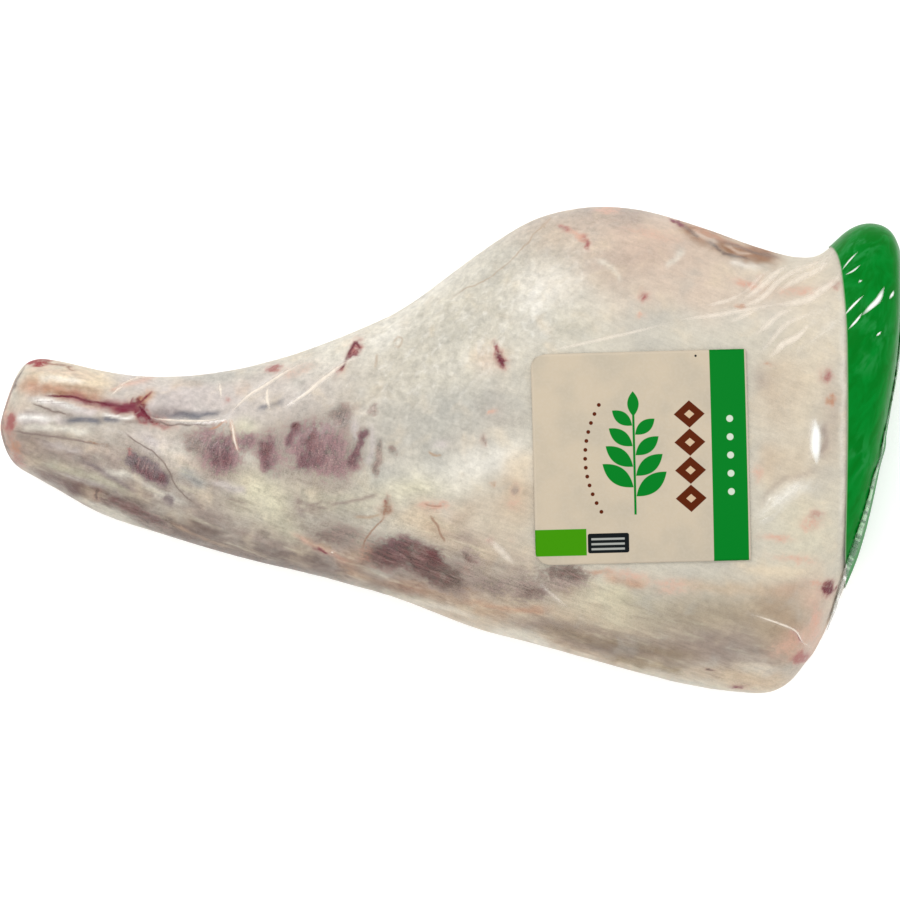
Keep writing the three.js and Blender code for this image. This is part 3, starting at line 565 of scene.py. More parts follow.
# Thin lines on the leg, veins and threads of blood: points, width, rise, colour and strength.
leg_lines = [
    ([(-181, 24.2), (-168, 23.6), (-158, 21.4), (-148, 19.6), (-138, 19.6)], 1.3, -0.2, crimson, 0.9),
    ([(-148, 18.6), (-143, 19.4), (-138, 20.4), (-133.6, 25), (-131.4, 28)], 1.2, 0.3, claret, 0.9),
    ([(-137.8, 24), (-137.2, 19.6), (-135.4, 16.4), (-130, 11.4)], 1.6, 0.3, crimson, 0.9),
    ([(-148.6, 15.3), (-144, 18.6), (-141, 22), (-139, 25)], 0.8, 0.1, claret, 0.7),
    ([(-185, 20.7), (-181, 19.5), (-173.3, 16.9), (-168, 15.4)], 0.9, -0.1, umber, 0.7),
    ([(-195, 8.6), (-185.8, 7.2), (-177, 6), (-169.8, 5), (-160.9, 3.3), (-152, 1.6)], 1.3, -0.2, fog, 0.9),
    ([(-160, 3.6), (-155, 2.4), (-151, 1.6)], 1.6, 0, sienna, 0.8),
    ([(-133, 14), (-125, 12), (-116, 11.8), (-104, 11.8)], 1, -0.1, umber, 0.7),
    ([(-146.2, 8.9), (-138.8, 4.5), (-131.5, -1), (-126.3, -6), (-121.9, -14.7), (-116.7, -21.3), (-110, -27)],
     0.9, -0.15, umber, 0.7),
    ([(-97.3, 14.4), (-95.8, 10.4), (-95, 4), (-93.3, -2)], 2, 0.2, peach, 0.6),
    ([(-97.6, 12), (-96.8, 6), (-94.8, -1)], 1, -0.2, umber, 0.6),
    ([(-99, 13.6), (-102, 11), (-107, 9)], 1.4, 0, rust, 0.8),
    ([(-53.3, -25), (-47, -23.6), (-40.6, -21.8), (-31, -19.6)], 1.6, -0.1, fog, 0.4),
    ([(-28.6, -29), (-31, -32.4), (-35, -36.6), (-38.1, -41.5), (-39.7, -45.3)], 1.1, -0.1, bark, 0.8),
    ([(-42.5, -29.4), (-35.6, -29.6), (-29.8, -28)], 1.8, 0, tan, 0.6),
    ([(-12, -24.2), (-7.4, -25), (-2.5, -24.2)], 1, 0, bark, 0.6),
    ([(-9, -29), (-5.4, -34), (-2, -41.6)], 1.2, 0, bark, 0.8),
    ([(-9.3, -0.6), (-7, -2), (-3.4, -3.2)], 1.2, 0, tan, 0.9),
    ([(-58.7, -43.8), (-56, -45), (-54, -46.6)], 1.2, 0, claret, 0.8),
    ([(45.1, 104.8), (39, 98.6), (32.2, 90.4), (20.3, 78.8), (6.4, 70.9), (-2.5, 65)], 0.7, 0.1, tan, 0.55),
    ([(44.6, 104), (40, 99)], 1.8, 0.1, tan, 0.5),
    ([(153.5, -81.4), (155, -84), (157.4, -86)], 0.8, 0, claret, 0.8),
    ([(-49.6, 34.6), (-47.4, 38.6), (-44.6, 44), (-42.4, 48.6), (-40.8, 47.4), (-39.4, 43)],
     1.6, -0.2, crimson, 0.9),
    ([(-47, 40), (-43.4, 42.6), (-39.8, 43)], 1.2, -0.1, claret, 0.8),
    ([(-32.6, 43), (-32.8, 36)], 1.6, 0, tan, 0.5),
    ([(-25.6, 47), (-23.4, 50.6), (-20.8, 48.6), (-22.6, 45.6), (-25.4, 46.6)], 1.1, 0.1, tan, 0.45),
    # painted shade: a thin dark line along the end's outline, where it turns under the film
    ([(-188, 40), (-195.8, 24), (-199, 13), (-198, 3.3), (-194.6, -5), (-189, -9)], 1.4, 0, umber, 0.8),
]

# The inner side, which lies on the table: the bare topside muscle under silverskin, with the fat's
# rim round it, the flesh cut at the hip, and the shin along the bone.
under_windows = [
    ((70, -6), (58, 44), -10, wine, 1.2), ((120, 20), (40, 40), 0, plum, 0.9),
    ((10, -16), (40, 20), -24, plum, 1.0), ((-60, -2), (46, 12), -16, wine, 0.9),
    ((-130, 4), (44, 12), -12, umber, 0.9),
]
under_seams = [
    ([(-20, 24), (16, 6), (60, -2), (110, 4), (150, 22)], 5, 0.4, milk, 0.9),
    ([(20, -50), (48, -30), (84, -26), (130, -44)], 3.4, 0.3, cream, 0.8),
    ([(-190, 16), (-150, 10), (-110, 4), (-66, 0), (-30, -10)], 4.5, 0.6, chalk, 0.75),
    ([(-30, -4), (0, -10), (40, -16), (90, -18)], 1.2, 0.2, claret, 0.7),
]


def wander(amount, size, seed):
    """The plan with each place shifted a little, so that what is drawn on it has uneven rims."""
    shift = [hills(skin_points / mm, size, seed + k) for k in (0, 1)]
    return plan + amount * np.stack(shift, axis=1)


def oval(places, at, reach, turn):
    """1 at the middle of an oval, sinking to nothing past its reach."""
    angle = math.radians(turn)
    off = places - np.array(at)
    along = (off[:, 0] * math.cos(angle) + off[:, 1] * math.sin(angle)) / reach[0]
    across = (off[:, 1] * math.cos(angle) - off[:, 0] * math.sin(angle)) / reach[1]
    return np.exp(-(along ** 2 + across ** 2))


def curve_through(points, spacing=1.0):
    """A smooth curve through the points, as many points about spacing apart."""
    points = np.array(points, float)
    ends = np.vstack([2 * points[0] - points[1], points, 2 * points[-1] - points[-2]])
    made = []
    for a, b, c, d in zip(ends, ends[1:], ends[2:], ends[3:]):
        steps = max(2, int(np.linalg.norm(c - b) / spacing))
        t = np.linspace(0, 1, steps, endpoint=False)[:, None]
        made.append(0.5 * (2 * b + (c - a) * t + (2 * a - 5 * b + 4 * c - d) * t ** 2
                           + (3 * b - a - 3 * c + d) * t ** 3))
    return np.vstack(made + [points[-1:]])


def beside(places, points):
    """For each place, how far it is from the curve, to its left or right, and how far along it."""
    curve = curve_through(points, 2.0)
    runs = curve[1:] - curve[:-1]
    lengths = np.linalg.norm(runs, axis=1)
    side, share = np.full(len(places), 1e9), np.zeros(len(places))
    low, high = curve.min(axis=0) - 25, curve.max(axis=0) + 25
    near = np.flatnonzero(((places > low) & (places < high)).all(axis=1))
    places = places[near]
    best, best_side, best_share = np.full(len(near), 1e9), np.zeros(len(near)), np.zeros(len(near))
    travelled = np.concatenate([[0], np.cumsum(lengths)])
    for start, run, length, before in zip(curve, runs, lengths, travelled):
        off = places - start
        t = np.clip(off @ run / length ** 2, 0, 1)
        away = np.linalg.norm(off - t[:, None] * run, axis=1)
        nearer = away < best
        best[nearer] = away[nearer]
        turn = run[0] * off[nearer, 1] - run[1] * off[nearer, 0]
        best_side[nearer] = away[nearer] * np.where(turn < 0, -1, 1)
        best_share[nearer] = (before + t[nearer] * length) / travelled[-1]
    side[near], share[near] = best_side, best_share
    return side, share


def ridge(side, width):
    """1 on a line, sinking to nothing past its width."""
    return np.exp(-np.clip(2 * side / width, -9, 9) ** 2)


def shown(mark, places):
    """A mark's colour, and how strongly it shows at each place."""
    *shape, colour, strength = mark
    if len(shape) == 3:
        share = oval(places, *shape)
    else:
        points, width = shape
        side, along = beside(places, points)
        share = ridge(side, width) * smooth(along, 0, 0.25) * smooth(1 - along, 0, 0.25)
    return colour, share * strength


def laid(marks, places, ground):
    """Marks laid over each other: the colour and the strength at each place."""
    colours = np.tile(np.array(ground[:3]), (len(places), 1))
    strongest = np.zeros(len(places))
    for mark in marks:
        colour, share = shown(mark, places)
        if colour is None:
            strongest *= 1 - np.clip(share, 0, 1)
            continue
        strongest = 1 - (1 - strongest) * (1 - np.clip(share, 0, 1))
        share = np.clip(1.8 * share, 0, 1)[:, None]
        colours = colours * (1 - share) + np.array(colour[:3]) * share
    return colours, strongest


def paint(mesh, name, colours, strength):
    """Stores a colour and a strength for each point of the mesh."""
    layer = mesh.attributes.new(name, "FLOAT_COLOR", "POINT")
    layer.data.foreach_set("color", np.column_stack([colours, strength]).astype(np.float32).ravel())


facing_down = 1 - facing_up
fat_places, mark_places, spot_places = wander(4, 16, 11), wander(1.2, 4, 21), wander(1.1, 3, 31)
line_places = wander(0.6, 4, 41)


def places_for(mark):
    """How far a mark's rim strays: big ovals most, thin streaks least."""
    narrow = min(mark[1]) if len(mark) == 5 else mark[1]
    return line_places if narrow < 3 else mark_places if len(mark) == 4 or narrow < 5 else fat_places


fat_colours = np.tile(np.array(ivory[:3]), (len(plan), 1))
for mark in fat_marks:
    colour, share = shown(mark, places_for(mark))
    share = np.clip(share * facing_up, 0, 1)[:, None]
    fat_colours = fat_colours * (1 - share) + np.array(colour[:3]) * share
lean_colours, bareness = laid(lean_marks, mark_places, haze)
under_colours, under_bareness = laid(under_windows, fat_places, haze)
lean_colours = lean_colours * facing_up[:, None] + under_colours * facing_down[:, None]
bareness = bareness * facing_up + 1.1 * smooth(under_bareness, 0.3, 0.75) * facing_down
spot_colours, spot_strength = laid(blood_spots, spot_places, peach)
spot_strength *= facing_up

# The sawn end of the shank: marrow in the bone, the bone's ring, and the tendon beside it.
end_share = smooth(-skin_normals[:, 0], 0.85, 0.97)
bone_middle, flesh_reach, bone_reach, marrow_reach = (9, 25), 30, 11, 4.5
from_bone = np.hypot(plan[:, 1] - bone_middle[0], height - bone_middle[1])
for reach, colour in ((flesh_reach, peach), (bone_reach, chalk), (marrow_reach, claret)):
    share = ((1 - smooth(from_bone, reach - 1.5, reach + 0.5)) * end_share)[:, None]
    fat_colours = fat_colours * (1 - share) + np.array(colour[:3]) * share
bareness *= 1 - end_share

# How far each place stands up, in millimetres: lumps, crinkles and long swells of the fat, hollows
# where the lean is bare, then tendons and lines. Each place also keeps its nearest line's colour.
line_side = np.full(len(plan), 1e3)
line_colours = np.zeros((len(plan), 3))
line_strength = np.zeros(len(plan))
crinkled_share = (oval(plan, (-5, 46), (46, 22), 24) + 0.5 * oval(plan, (40, 76), (26, 14), 30)) * facing_up
relief = 0.3 * hills(skin_points / mm, 7, 51, 3) * smooth(plan[:, 0], -150, -40)
relief += 0.4 * hills(skin_points / mm, 3.4, 53, 1) * crinkled_share
relief += 0.5 * hills(skin_points / mm, 24, 52, 2)
relief -= 0.5 * smooth(bareness, 0.4, 0.8)
for points, width, rise in swells + [(points, width, 0.5 * rise) for points, width, rise in film_folds]:
    colour, share = shown((points, width, None, rise), plan)
    relief += share * facing_up
for lines, where in ((leg_lines, facing_up), (under_seams, facing_down)):
    for points, width, rise, colour, strength in lines:
        side, share = beside(line_places, points)
        reach = (1.5 * face_size / mm, 3 * face_size / mm)
        near = 1 - smooth(np.abs(side) - width / 2, *reach)
        taper = smooth(share, 0, 0.12) * smooth(1 - share, 0, 0.2) * where
        relief += rise * ridge(side, width) * taper
        side = 2 * side / width
        nearer = (np.abs(side) < np.abs(line_side)) & (where > 0.5)
        line_side[nearer] = side[nearer]
        line_colours[nearer] = colour[:3]
        line_strength[nearer] = (strength * taper * near)[nearer]

# The meat lies closer to the film, and is smoother, round the pack's outline than on top.
on_top = smooth(np.abs(skin_normals[:, 2]), 0.15, 0.6)
deepest, highest = 0.75, 1.1  # mm, how far the meat sinks under the film and rises towards it
meat_depth = (deepest - np.minimum(relief, highest)) * (0.25 + 0.75 * on_top)
meat_points = skin_points + skin_normals * (film_slack - film_gap - meat_depth * mm)[:, None]
meat_points[:, 2] = np.maximum(meat_points[:, 2], 0.3 * mm)

meat_material, brush = new_material("fat_and_lean")
fat = brush.painted("fat")
lean = brush.painted("lean")
lean_share = brush.painted("lean", 3)
blood = brush.painted("blood")
blood_share = brush.painted("blood", 3)
line = brush.painted("line")
line_share = brush.painted("line", 3)
beside_line = brush.painted("line_side", 2)
knee = brush.painted("knee", 2)
crinkled = brush.painted("crinkled", 2)

# Grain of several sizes, from clouds in the fat to grit, and the run of the muscles' fibres.
clouds = brush.noise(12 * mm, 2, swirl=0.4)
lumps = brush.noise(5 * mm, 3, swirl=0.3)
sponge = brush.noise(2.2 * mm, 3, swirl=0.3)
flakes = brush.noise(3.4 * mm, 3, 0.55, stretch=(1.7, 1, 1), turn=48, swirl=0.7)
grit = brush.noise(0.6 * mm, 3, 0.6)
along_fibres = brush.noise(1.3 * mm, 3, 0.6, stretch=(7, 1, 2), turn=-22, swirl=0.3)
across_fibres = brush.noise(1.3 * mm, 3, 0.6, stretch=(4, 1, 2), turn=76, swirl=0.5)
fibres = along_fibres + knee * (across_fibres - along_fibres)
bands = brush.noise(3.6 * mm, 3, 0.55, stretch=(6, 1, 2), turn=-18, swirl=0.4)

# How much darker or lighter each place is: calmer on the thigh, livelier where the lean is bare.
lively = 1 - 0.6 * brush.painted("calm", 2)
streaky = brush.painted("streaky", 2)
coarse = (lumps - 0.5) * 0.55 + (sponge - 0.5) * (0.5 + 0.5 * lean_share)
specks, threads = grit.step(0.34, 0.66) - 0.5, fibres.step(0.34, 0.66) - 0.5
fine = specks * (0.1 + 0.06 * streaky + 0.4 * lean_share)
grain = threads * (0.07 + 0.07 * streaky + 0.5 * lean_share)
mottle_gain = 1.0 + coarse * lively + (fine + grain)

# The fat's cooler and warmer places, then the lean under its silverskin, blood, and lines on top.
dark_bands = (bands.step(0.5, 0.75) * 0.32 * streaky).blend(fat, umber)
pale_bands = (bands.step(0.46, 0.26) * 0.3 * streaky).blend(dark_bands, moss)
cooler = (clouds.step(0.5, 0.8) * 0.35).blend(pale_bands, dove)
warmer = (clouds.step(0.5, 0.2) * 0.35).blend(cooler, cream)
# The crinkled fat's curls, from the same noise as their bumps, are whiter on the crests and grey-green in the
# hollows: partly the fat's own colour, partly painted highlight and shade.
lit_curls = (flakes.step(0.5, 0.7) * (0.02 + 0.3 * crinkled)).blend(warmer, chalk)
shaded_curls = (flakes.step(0.46, 0.28) * (0.04 + 0.26 * crinkled)).blend(lit_curls, sage)
breakup = (sponge - 0.5) * 1.3 + (lumps - 0.5) * 0.8 + threads * 0.3 + specks * 0.15
depth = lean_share + breakup * lean_share.step(0.0, 0.3)
veil = (depth.step(0.0, 0.55) * 0.45).blend(shaded_curls, ink(150, 140, 130))
body = (depth.step(0.15, 0.8) * 0.93).blend(veil, lean)
core = (depth.step(0.8, 1.3) * 0.5).blend(body, wine)
skinned = (fibres + (flakes - 0.5) * 0.8).step(0.52, 0.74) * lean_share.step(0.2, 0.6)
silver = (skinned * 0.22).blend(core, haze)
dotted = (grit.step(0.62, 0.74) * knee * lean_share.step(0.1, 0.5) * 0.35).blend(silver, cream)
darken = {"data_type": "RGBA", "blend_type": "MULTIPLY"}
mottled = brush.node("Mix", darken, {0: 1.0, 6: dotted, 7: mottle_gain}, output=2)
blot = blood_share * (1.1 + (sponge - 0.5) * 2.4 + (grit - 0.5) * 1.2)
stained = (blot.step(-0.05, 0.6) * 0.3).blend(mottled, blood)
bloody = (blot.step(0.2, 1.1) * 0.98).blend(stained, blood)
edge = abs(beside_line + (grit - 0.5) * 0.8 + (lumps - 0.5) * 0.5).step(1.5, 0.0)
drawn = (edge * line_share * (1 + (fibres - 0.5) * 1.4)).blend(bloody, line)
height_map = lumps * 0.5 + flakes * (0.1 + crinkled * 0.5) + grit * 0.12 + fibres * 0.25
bump = brush.node("Bump", None, {"Strength": 0.5, "Distance": 0.8 * mm, "Height": height_map})
brush.cover({"Base Color": drawn, "Roughness": 0.5, "Normal": bump, "Specular IOR Level": 0.1})

leg_meat = piece_of(moved_skin(meat_points), "leg_meat", meat_material)
paint(leg_meat.data, "fat", fat_colours, np.ones(len(plan)))
paint(leg_meat.data, "lean", lean_colours, bareness)
paint(leg_meat.data, "blood", spot_colours, spot_strength)
paint(leg_meat.data, "line", line_colours, line_strength)

# Where the muscles run across the shank, and where the fat is streaky or calm.
cross_grained = [((-55, 2), (30, 24)), ((-102, 2), (15, 14)), ((-134, -8), (12, 9))]
zones = {
    "line_side": np.clip(line_side, -20, 20),
    "knee": np.clip(sum(oval(plan, *spot, 0) for spot in cross_grained), 0, 1) * facing_up,
    "crinkled": crinkled_share,
    "streaky": smooth(-plan[:, 1] - 0.42 * plan[:, 0] - 26, -20, 20) * facing_up
    * smooth(12 - plan[:, 1], 0, 14),
    "calm": facing_down + facing_up * smooth(plan[:, 0] - 0.5 * plan[:, 1], -10, 60),
}
for name, values in zones.items():
    hold(leg_meat.data, name, values)
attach(leg_meat, "root")
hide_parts("packed_leg")

# The shrink bag: one sheet of clear glossy film drawn tight over the meat. Its hip end is printed
# solid green, up to a straight edge that runs across the pack.
print_edge = [(160, 112), (165, 96), (169.9, 89.4), (171.9, 83.4), (172.8, 76.3), (173.7, 64.8), (174.3, 52.4),
              (174.5, 39.3), (174.6, 12.9), (174.3, -38.4), (175.2, -56.3), (177.4, -80), (178, -112)]

film_points = skin_points + skin_normals * film_slack
folded = np.zeros(len(plan))
for points, width, rise in film_folds:
    side, share = beside(plan, points)
    fold = ridge(side, width) * facing_up * smooth(share, 0, 0.2) * smooth(1 - share, 0, 0.2)
    film_points += skin_normals * (rise * mm * fold)[:, None]
    folded = np.maximum(folded, fold * max(rise, 0.0))
film_points[:, 2] = np.maximum(film_points[:, 2], 0.05 * mm)

most_sheen = 0.045  # the share of the white room that the film mirrors at most
film_material, brush = new_material("clear_film")
ripples = brush.noise(4 * mm, 3, 0.6, stretch=(2.2, 1, 1), turn=40, swirl=1.0)
bump = brush.node("Bump", None, {"Strength": 0.35, "Distance": 0.6 * mm, "Height": ripples})
gloss = brush.node("Fresnel", None, {"IOR": 1.4, "Normal": bump})
fold_share = brush.painted("folded", 2) * ripples.step(0.25, 0.7) * 0.2
film_share = gloss.math("MINIMUM", gloss * 0.4, most_sheen) + fold_share
brush.cover({"Base Color": (1, 1, 1, 1), "Metallic": 1.0, "Roughness": 0.2, "Normal": bump}, film_share)

print_material, brush = new_material("green_print")
crinkles = brush.noise(6 * mm, 3, stretch=(1, 2.4, 1), turn=-30, swirl=1.2)
near_rim = brush.painted("past_edge", 2)
bump = brush.node("Bump", None, {"Strength": 0.3, "Distance": 0.6 * mm, "Height": crinkles})
# Painted sheen: pale green patches and diagonal streaks where the print catches the light, and a lighter green
# where the crinkles rise, as painted highlight.
sheen_streaks = brush.noise(3 * mm, 3, 0.6, stretch=(5, 1, 1), turn=48, swirl=0.4)
sheen_patches = brush.painted("sheen_patches", 2) * (sheen_streaks + (crinkles - 0.5)).step(0.42, 0.75)
greens = crinkles.step(0.3, 0.7).blend(ink(0, 110, 26), ink(0, 124, 38))
green_with_sheen = (sheen_patches * 0.35).blend(greens, ink(60, 144, 86))
rimmed = (near_rim.step(0.7, 0.1) * 0.8).blend(green_with_sheen, ink(150, 170, 138))
brush.cover({"Base Color": rimmed, "Roughness": 0.3, "Normal": bump, "Specular IOR Level": 0.035})

film = piece_of(moved_skin(film_points), "shrink_film", film_material)
hold(film.data, "folded", folded)
edge_curve = curve_through(print_edge, 4)[::-1]


def past_edge(x, y):
    """How far a place lies past the print's edge, towards the hip, in millimetres."""
    return x / mm - np.interp(y / mm, edge_curve[:, 1], edge_curve[:, 0])


sheet = bmesh.new()
sheet.from_mesh(film.data)
film_surface = BVHTree.FromBMesh(sheet)
past = {v: past_edge(v.co.x, v.co.y) for v in sheet.verts}
crossing = [e for e in sheet.edges if past[e.verts[0]] * past[e.verts[1]] < 0]
cuts = []
for edge in crossing:
    a, b = edge.verts
    _, made = bmesh.utils.edge_split(edge, a, past[a] / (past[a] - past[b]))
    past[made] = 0
    cuts.append(made)
bmesh.ops.connect_verts(sheet, verts=cuts)
green_faces = [f for f in sheet.faces if sum(past[v] for v in f.verts) > 0]
printed = sheet.copy()
bmesh.ops.delete(sheet, geom=green_faces, context="FACES")
sheet.to_mesh(film.data)
printed_past = [past_edge(v.co.x, v.co.y) for v in printed.verts]
clear_faces = [f for f in printed.faces if sum(printed_past[v.index] for v in f.verts) <= 0]
bmesh.ops.delete(printed, geom=clear_faces, context="FACES")
print_mesh = bpy.data.meshes.new("printed_film")
printed.to_mesh(print_mesh)
print_points = triples(print_mesh.vertices, "co")
# Where the print is painted with pale sheen, as painted reflection.
sheen_spots = [((176, 86), (9, 9), 0), ((184, 94), (10, 6), 10), ((182, 39), (8, 5), 10),
               ((181, -4), (6, 8), 0),
               ((178, 62), (5, 12), 40), ((190, 52), (5, 6), 0)]
sheen_share = sum(oval(print_points[:, :2] / mm, *spot) for spot in sheen_spots)
hold(print_mesh, "past_edge", past_edge(print_points[:, 0], print_points[:, 1]))
hold(print_mesh, "sheen_patches", sheen_share)
printed_film = piece_of(print_mesh, "printed_film", print_material)
sheet.free()
printed.free()
for piece, slot in ((film, "meat_in_film"), (printed_film, "green_print")):
    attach(piece, "root")
    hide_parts("packed_leg")

# The pleats of the bag: thin creases of doubled film that stand up where it shrank over the shank,
# and that fan out from the corner where the printed end is gathered in. Each has the points it runs
# through, its width and its rise.
pleats = [
    ([(-134, 16), (-131, 14), (-122, 13.1), (-110, 12.8), (-99, 14)], 1.6, 0.5),
    ([(-99, 14), (-95, 18.4), (-88.9, 24), (-81.8, 28.4), (-75, 33), (-69.7, 36.1), (-64, 40)], 2.4, 0.6),
    ([(-74.4, 17), (-72, 19.4), (-68.7, 21.4), (-62.6, 25.6), (-57.6, 30), (-53.5, 33), (-47, 38), (-39, 42)],
     2.8, 0.6),
    ([(-97.6, 15), (-96, 10.4), (-95, 4.2), (-93, -2)], 1.6, 0.4),
    ([(-80.4, 29), (-80.8, 23), (-79.4, 17)], 2.4, 0.4),
    ([(-102.3, 30.4), (-101.6, 26), (-101.2, 22.3)], 1.8, 0.4),
    ([(-149, 26), (-144, 30), (-136, 33), (-128, 34.6)], 1.6, 0.3),
    ([(-150.6, 23.6), (-147, 27), (-143.6, 29)], 1.6, 0.3),
    ([(98, 56.4), (105.6, 57.8), (117, 59.2), (126.7, 61), (134.6, 62.3), (140.8, 63.6), (147, 64.6)],
     2.9, 0.15),
    ([(142, 63.4), (148, 64.4), (153, 65), (158.4, 66.6), (163.6, 70.2), (170.7, 75.4), (173, 82)],
     4.8, 0.25),
    ([(127, 64.6), (129, 66), (132.9, 68.8), (137.3, 72), (140.8, 75.4), (145.6, 79.2), (151, 82)],
     4.3, 0.25),
    ([(126, 62.4), (133.7, 64.9), (139, 68.4), (143.5, 72.9), (148, 76), (154, 79)], 3.6, 0.2),
    ([(112, 63.4), (118, 64.6), (124, 66.4), (130, 70)], 2.9, 0.15),
    ([(143, 68), (148, 72), (154, 75.4), (162, 79), (166.3, 82.5), (169.8, 88)], 4.3, 0.2),
    ([(140, 72), (147, 76.3), (154.8, 80), (162, 82.5), (168, 86.6)], 3.2, 0.15),
    ([(128, 68), (133, 72.4), (137, 76.6), (141, 80)], 2.5, 0.1),
    ([(139, 40), (143, 43), (146.6, 46.7), (151.5, 49), (155.4, 52.1), (158.6, 56)], 4.3, 0.25),
    ([(134.4, 41.1), (140.5, 47.2), (145, 52.5), (151, 57), (162.4, 61.3)], 2.9, 0.1),
    ([(133, 50), (137.9, 53.4), (145, 59.5), (152, 62.4)], 3.6, 0.15),
    ([(122, 55.6), (126.5, 57.7), (136.1, 62.1)], 2.9, 0.1),
    ([(40, 42.6), (60, 47), (80, 51.6), (98, 56)], 2.2, 0.1),
    ([(160.2, 14.4), (160.6, 8), (160.4, 2), (161, -7)], 6, 0.9),
    ([(173, 58.6), (177, 63), (182.4, 68.4)], 1.6, 0.4), ([(175, 52.8), (179, 57), (181.7, 60.8)], 1.6, 0.4),
    ([(181, 59), (184.4, 62), (188.6, 66.2), (191.6, 72.4)], 3.4, 0.7),
    ([(193.4, 66.4), (196, 70.6)], 2.4, 0.5), ([(172.8, 79), (176, 83), (180.6, 88)], 1.4, 0.3),
    ([(174, 77), (178, 79), (181.4, 82)], 1.4, 0.3), ([(179.6, 73.6), (182, 75)], 1.6, 0.3),
    ([(187.4, 50), (190, 52.4)], 1.6, 0.4),
    ([(131.7, -71.9), (143.3, -75.8), (152.2, -79.7), (155.6, -84.7), (161, -88)], 1.4, 0.4),
    ([(17, -39), (22, -44), (29, -51)], 5, 0.15),
    ([(39, -58), (42, -61), (46, -64.5), (52.7, -70.1)], 2, 0.03),
    ([(-53, -45.6), (-51, -44.8)], 1.6, 0.3),
]
# Painted highlight: the crease's cream is partly the doubled film's own whiteness and partly painted highlight
# along its crest. Pleats marked as glints are painted near white as painted glints.
crease_material, brush = new_material("film_crease")
flicker = brush.noise(2.5 * mm, 3)
crest = brush.painted("crest", 2)
painted_glint = brush.painted("glint", 2)
colour_with_painted_light = painted_glint.blend(ink(232, 220, 204), ink(248, 250, 246))
film_doubled = crest * (0.68 + 0.32 * (flicker + 0.3 * painted_glint).step(0.3, 0.65))
brush.cover({"Base Color": colour_with_painted_light, "Roughness": 0.3}, film_doubled)


def on_film(x, y):
    """The place and the direction of the film straight under a place in millimetres."""
    place, normal, _, _ = film_surface.ray_cast(Vector((x * mm, y * mm, 0.2)), Vector((0, 0, -1)))
    return (place, normal) if place else (None, None)


crease_root = 0.06 * mm
widest_plain = 5  # mm; a wider pleat is painted white as a glint, as one on the print is

# Across a crease: how far out each point lies, how high, and how much of the doubled film it shows.
one_side = [(-1, 0, 0), (-0.7, 0.3, 0.3), (-0.35, 0.8, 0.85)]
crease_profile = one_side + [(0, 1, 1)] + [(-out, high, shows) for out, high, shows in one_side[::-1]]
ring_size = len(crease_profile)
crease_points, crease_faces, crests, glints = [], [], [], []
for points, width, rise in pleats:
    curve = curve_through(points, 1.0)
    rings = []
    for at, towards in zip(curve, np.gradient(curve, axis=0)):
        place, normal = on_film(*at)
        if place is None:
            continue
        share = len(rings) / (len(curve) - 1)
        size = 0.1 + 0.9 * math.sin(math.pi * min(share, 1)) ** 0.8
        sideways = Vector((-towards[1], towards[0], 0)).normalized() * (width * size * mm / 2)
        up = normal * (rise * size * mm)
        sunk = place - normal * crease_root
        rings.append([sunk + sideways * out + up * high for out, high, _ in crease_profile])
    for index, ring in enumerate(rings):
        first = len(crease_points)
        crease_points += ring
        ending = min(1.0, 3.5 * min(index, len(rings) - 1 - index) / len(rings)) * min(1.0, 0.35 + 1.6 * rise)
        crests += [shows * ending for _, _, shows in crease_profile]
        top = ring[ring_size // 2]
        glints += [float(past_edge(top.x, top.y) > 0 or width > widest_plain)] * ring_size
        if index:
            crease_faces += [(first + k - ring_size, first + (k + 1) % ring_size - ring_size,
                              first + (k + 1) % ring_size, first + k) for k in range(ring_size)]
        if index in (0, len(rings) - 1):
            cap = tuple(range(first, first + ring_size))
            crease_faces.append(cap if index == 0 else cap[::-1])
crease_mesh = bpy.data.meshes.new("film_creases")
crease_mesh.from_pydata([tuple(p) for p in crease_points], [], crease_faces)
hold(crease_mesh, "crest", crests)
hold(crease_mesh, "glint", glints)
creases = piece_of(crease_mesh, "film_creases", crease_material)
for light_path in ("shadow", "diffuse", "glossy"):
    setattr(creases, "visible_" + light_path, False)  # clear film dims nothing under it
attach(creases, "root")
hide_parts("packed_leg")

# The weld that closes the bag: a narrow strip of two films melted together, pressed against the
# pack round its hip end and crinkled by the shrinking.
weld_middle = Vector((0.1, 0, 0))
weld_turns = (34, -50)  # degrees round its middle
weld_steps, weld_rows = 260, 7
weld_width, weld_thickness, weld_gap = 7.5 * mm, 0.3 * mm, 0.15 * mm
# Turns, and how high the strip lies at each, in millimetres.
weld_heights = [(-50, 34), (-42, 42), (-34, 48), (-24, 50), (-8, 50), (4, 46), (20, 36), (34, 31)]

weld_material, brush = new_material("weld")
ridges = brush.painted("ridges", 2)
printed_share = brush.painted("printed_share", 2)
# Painted highlight and shade: the film is painted lighter on the ruffle's crests and darker in its hollows.
white_with_ridge_light = ridges.step(-0.6, 0.8).blend(ink(176, 172, 160), ink(232, 232, 226))
green_with_ridge_light = ridges.step(-0.6, 0.8).blend(ink(20, 110, 44), ink(142, 190, 140))
colour_with_painted_light = printed_share.step(0.3, 0.7).blend(white_with_ridge_light, green_with_ridge_light)
brush.cover({"Base Color": colour_with_painted_light, "Roughness": 0.25}, 0.45 + 0.45 * ridges.step(-0.5, 1.0))

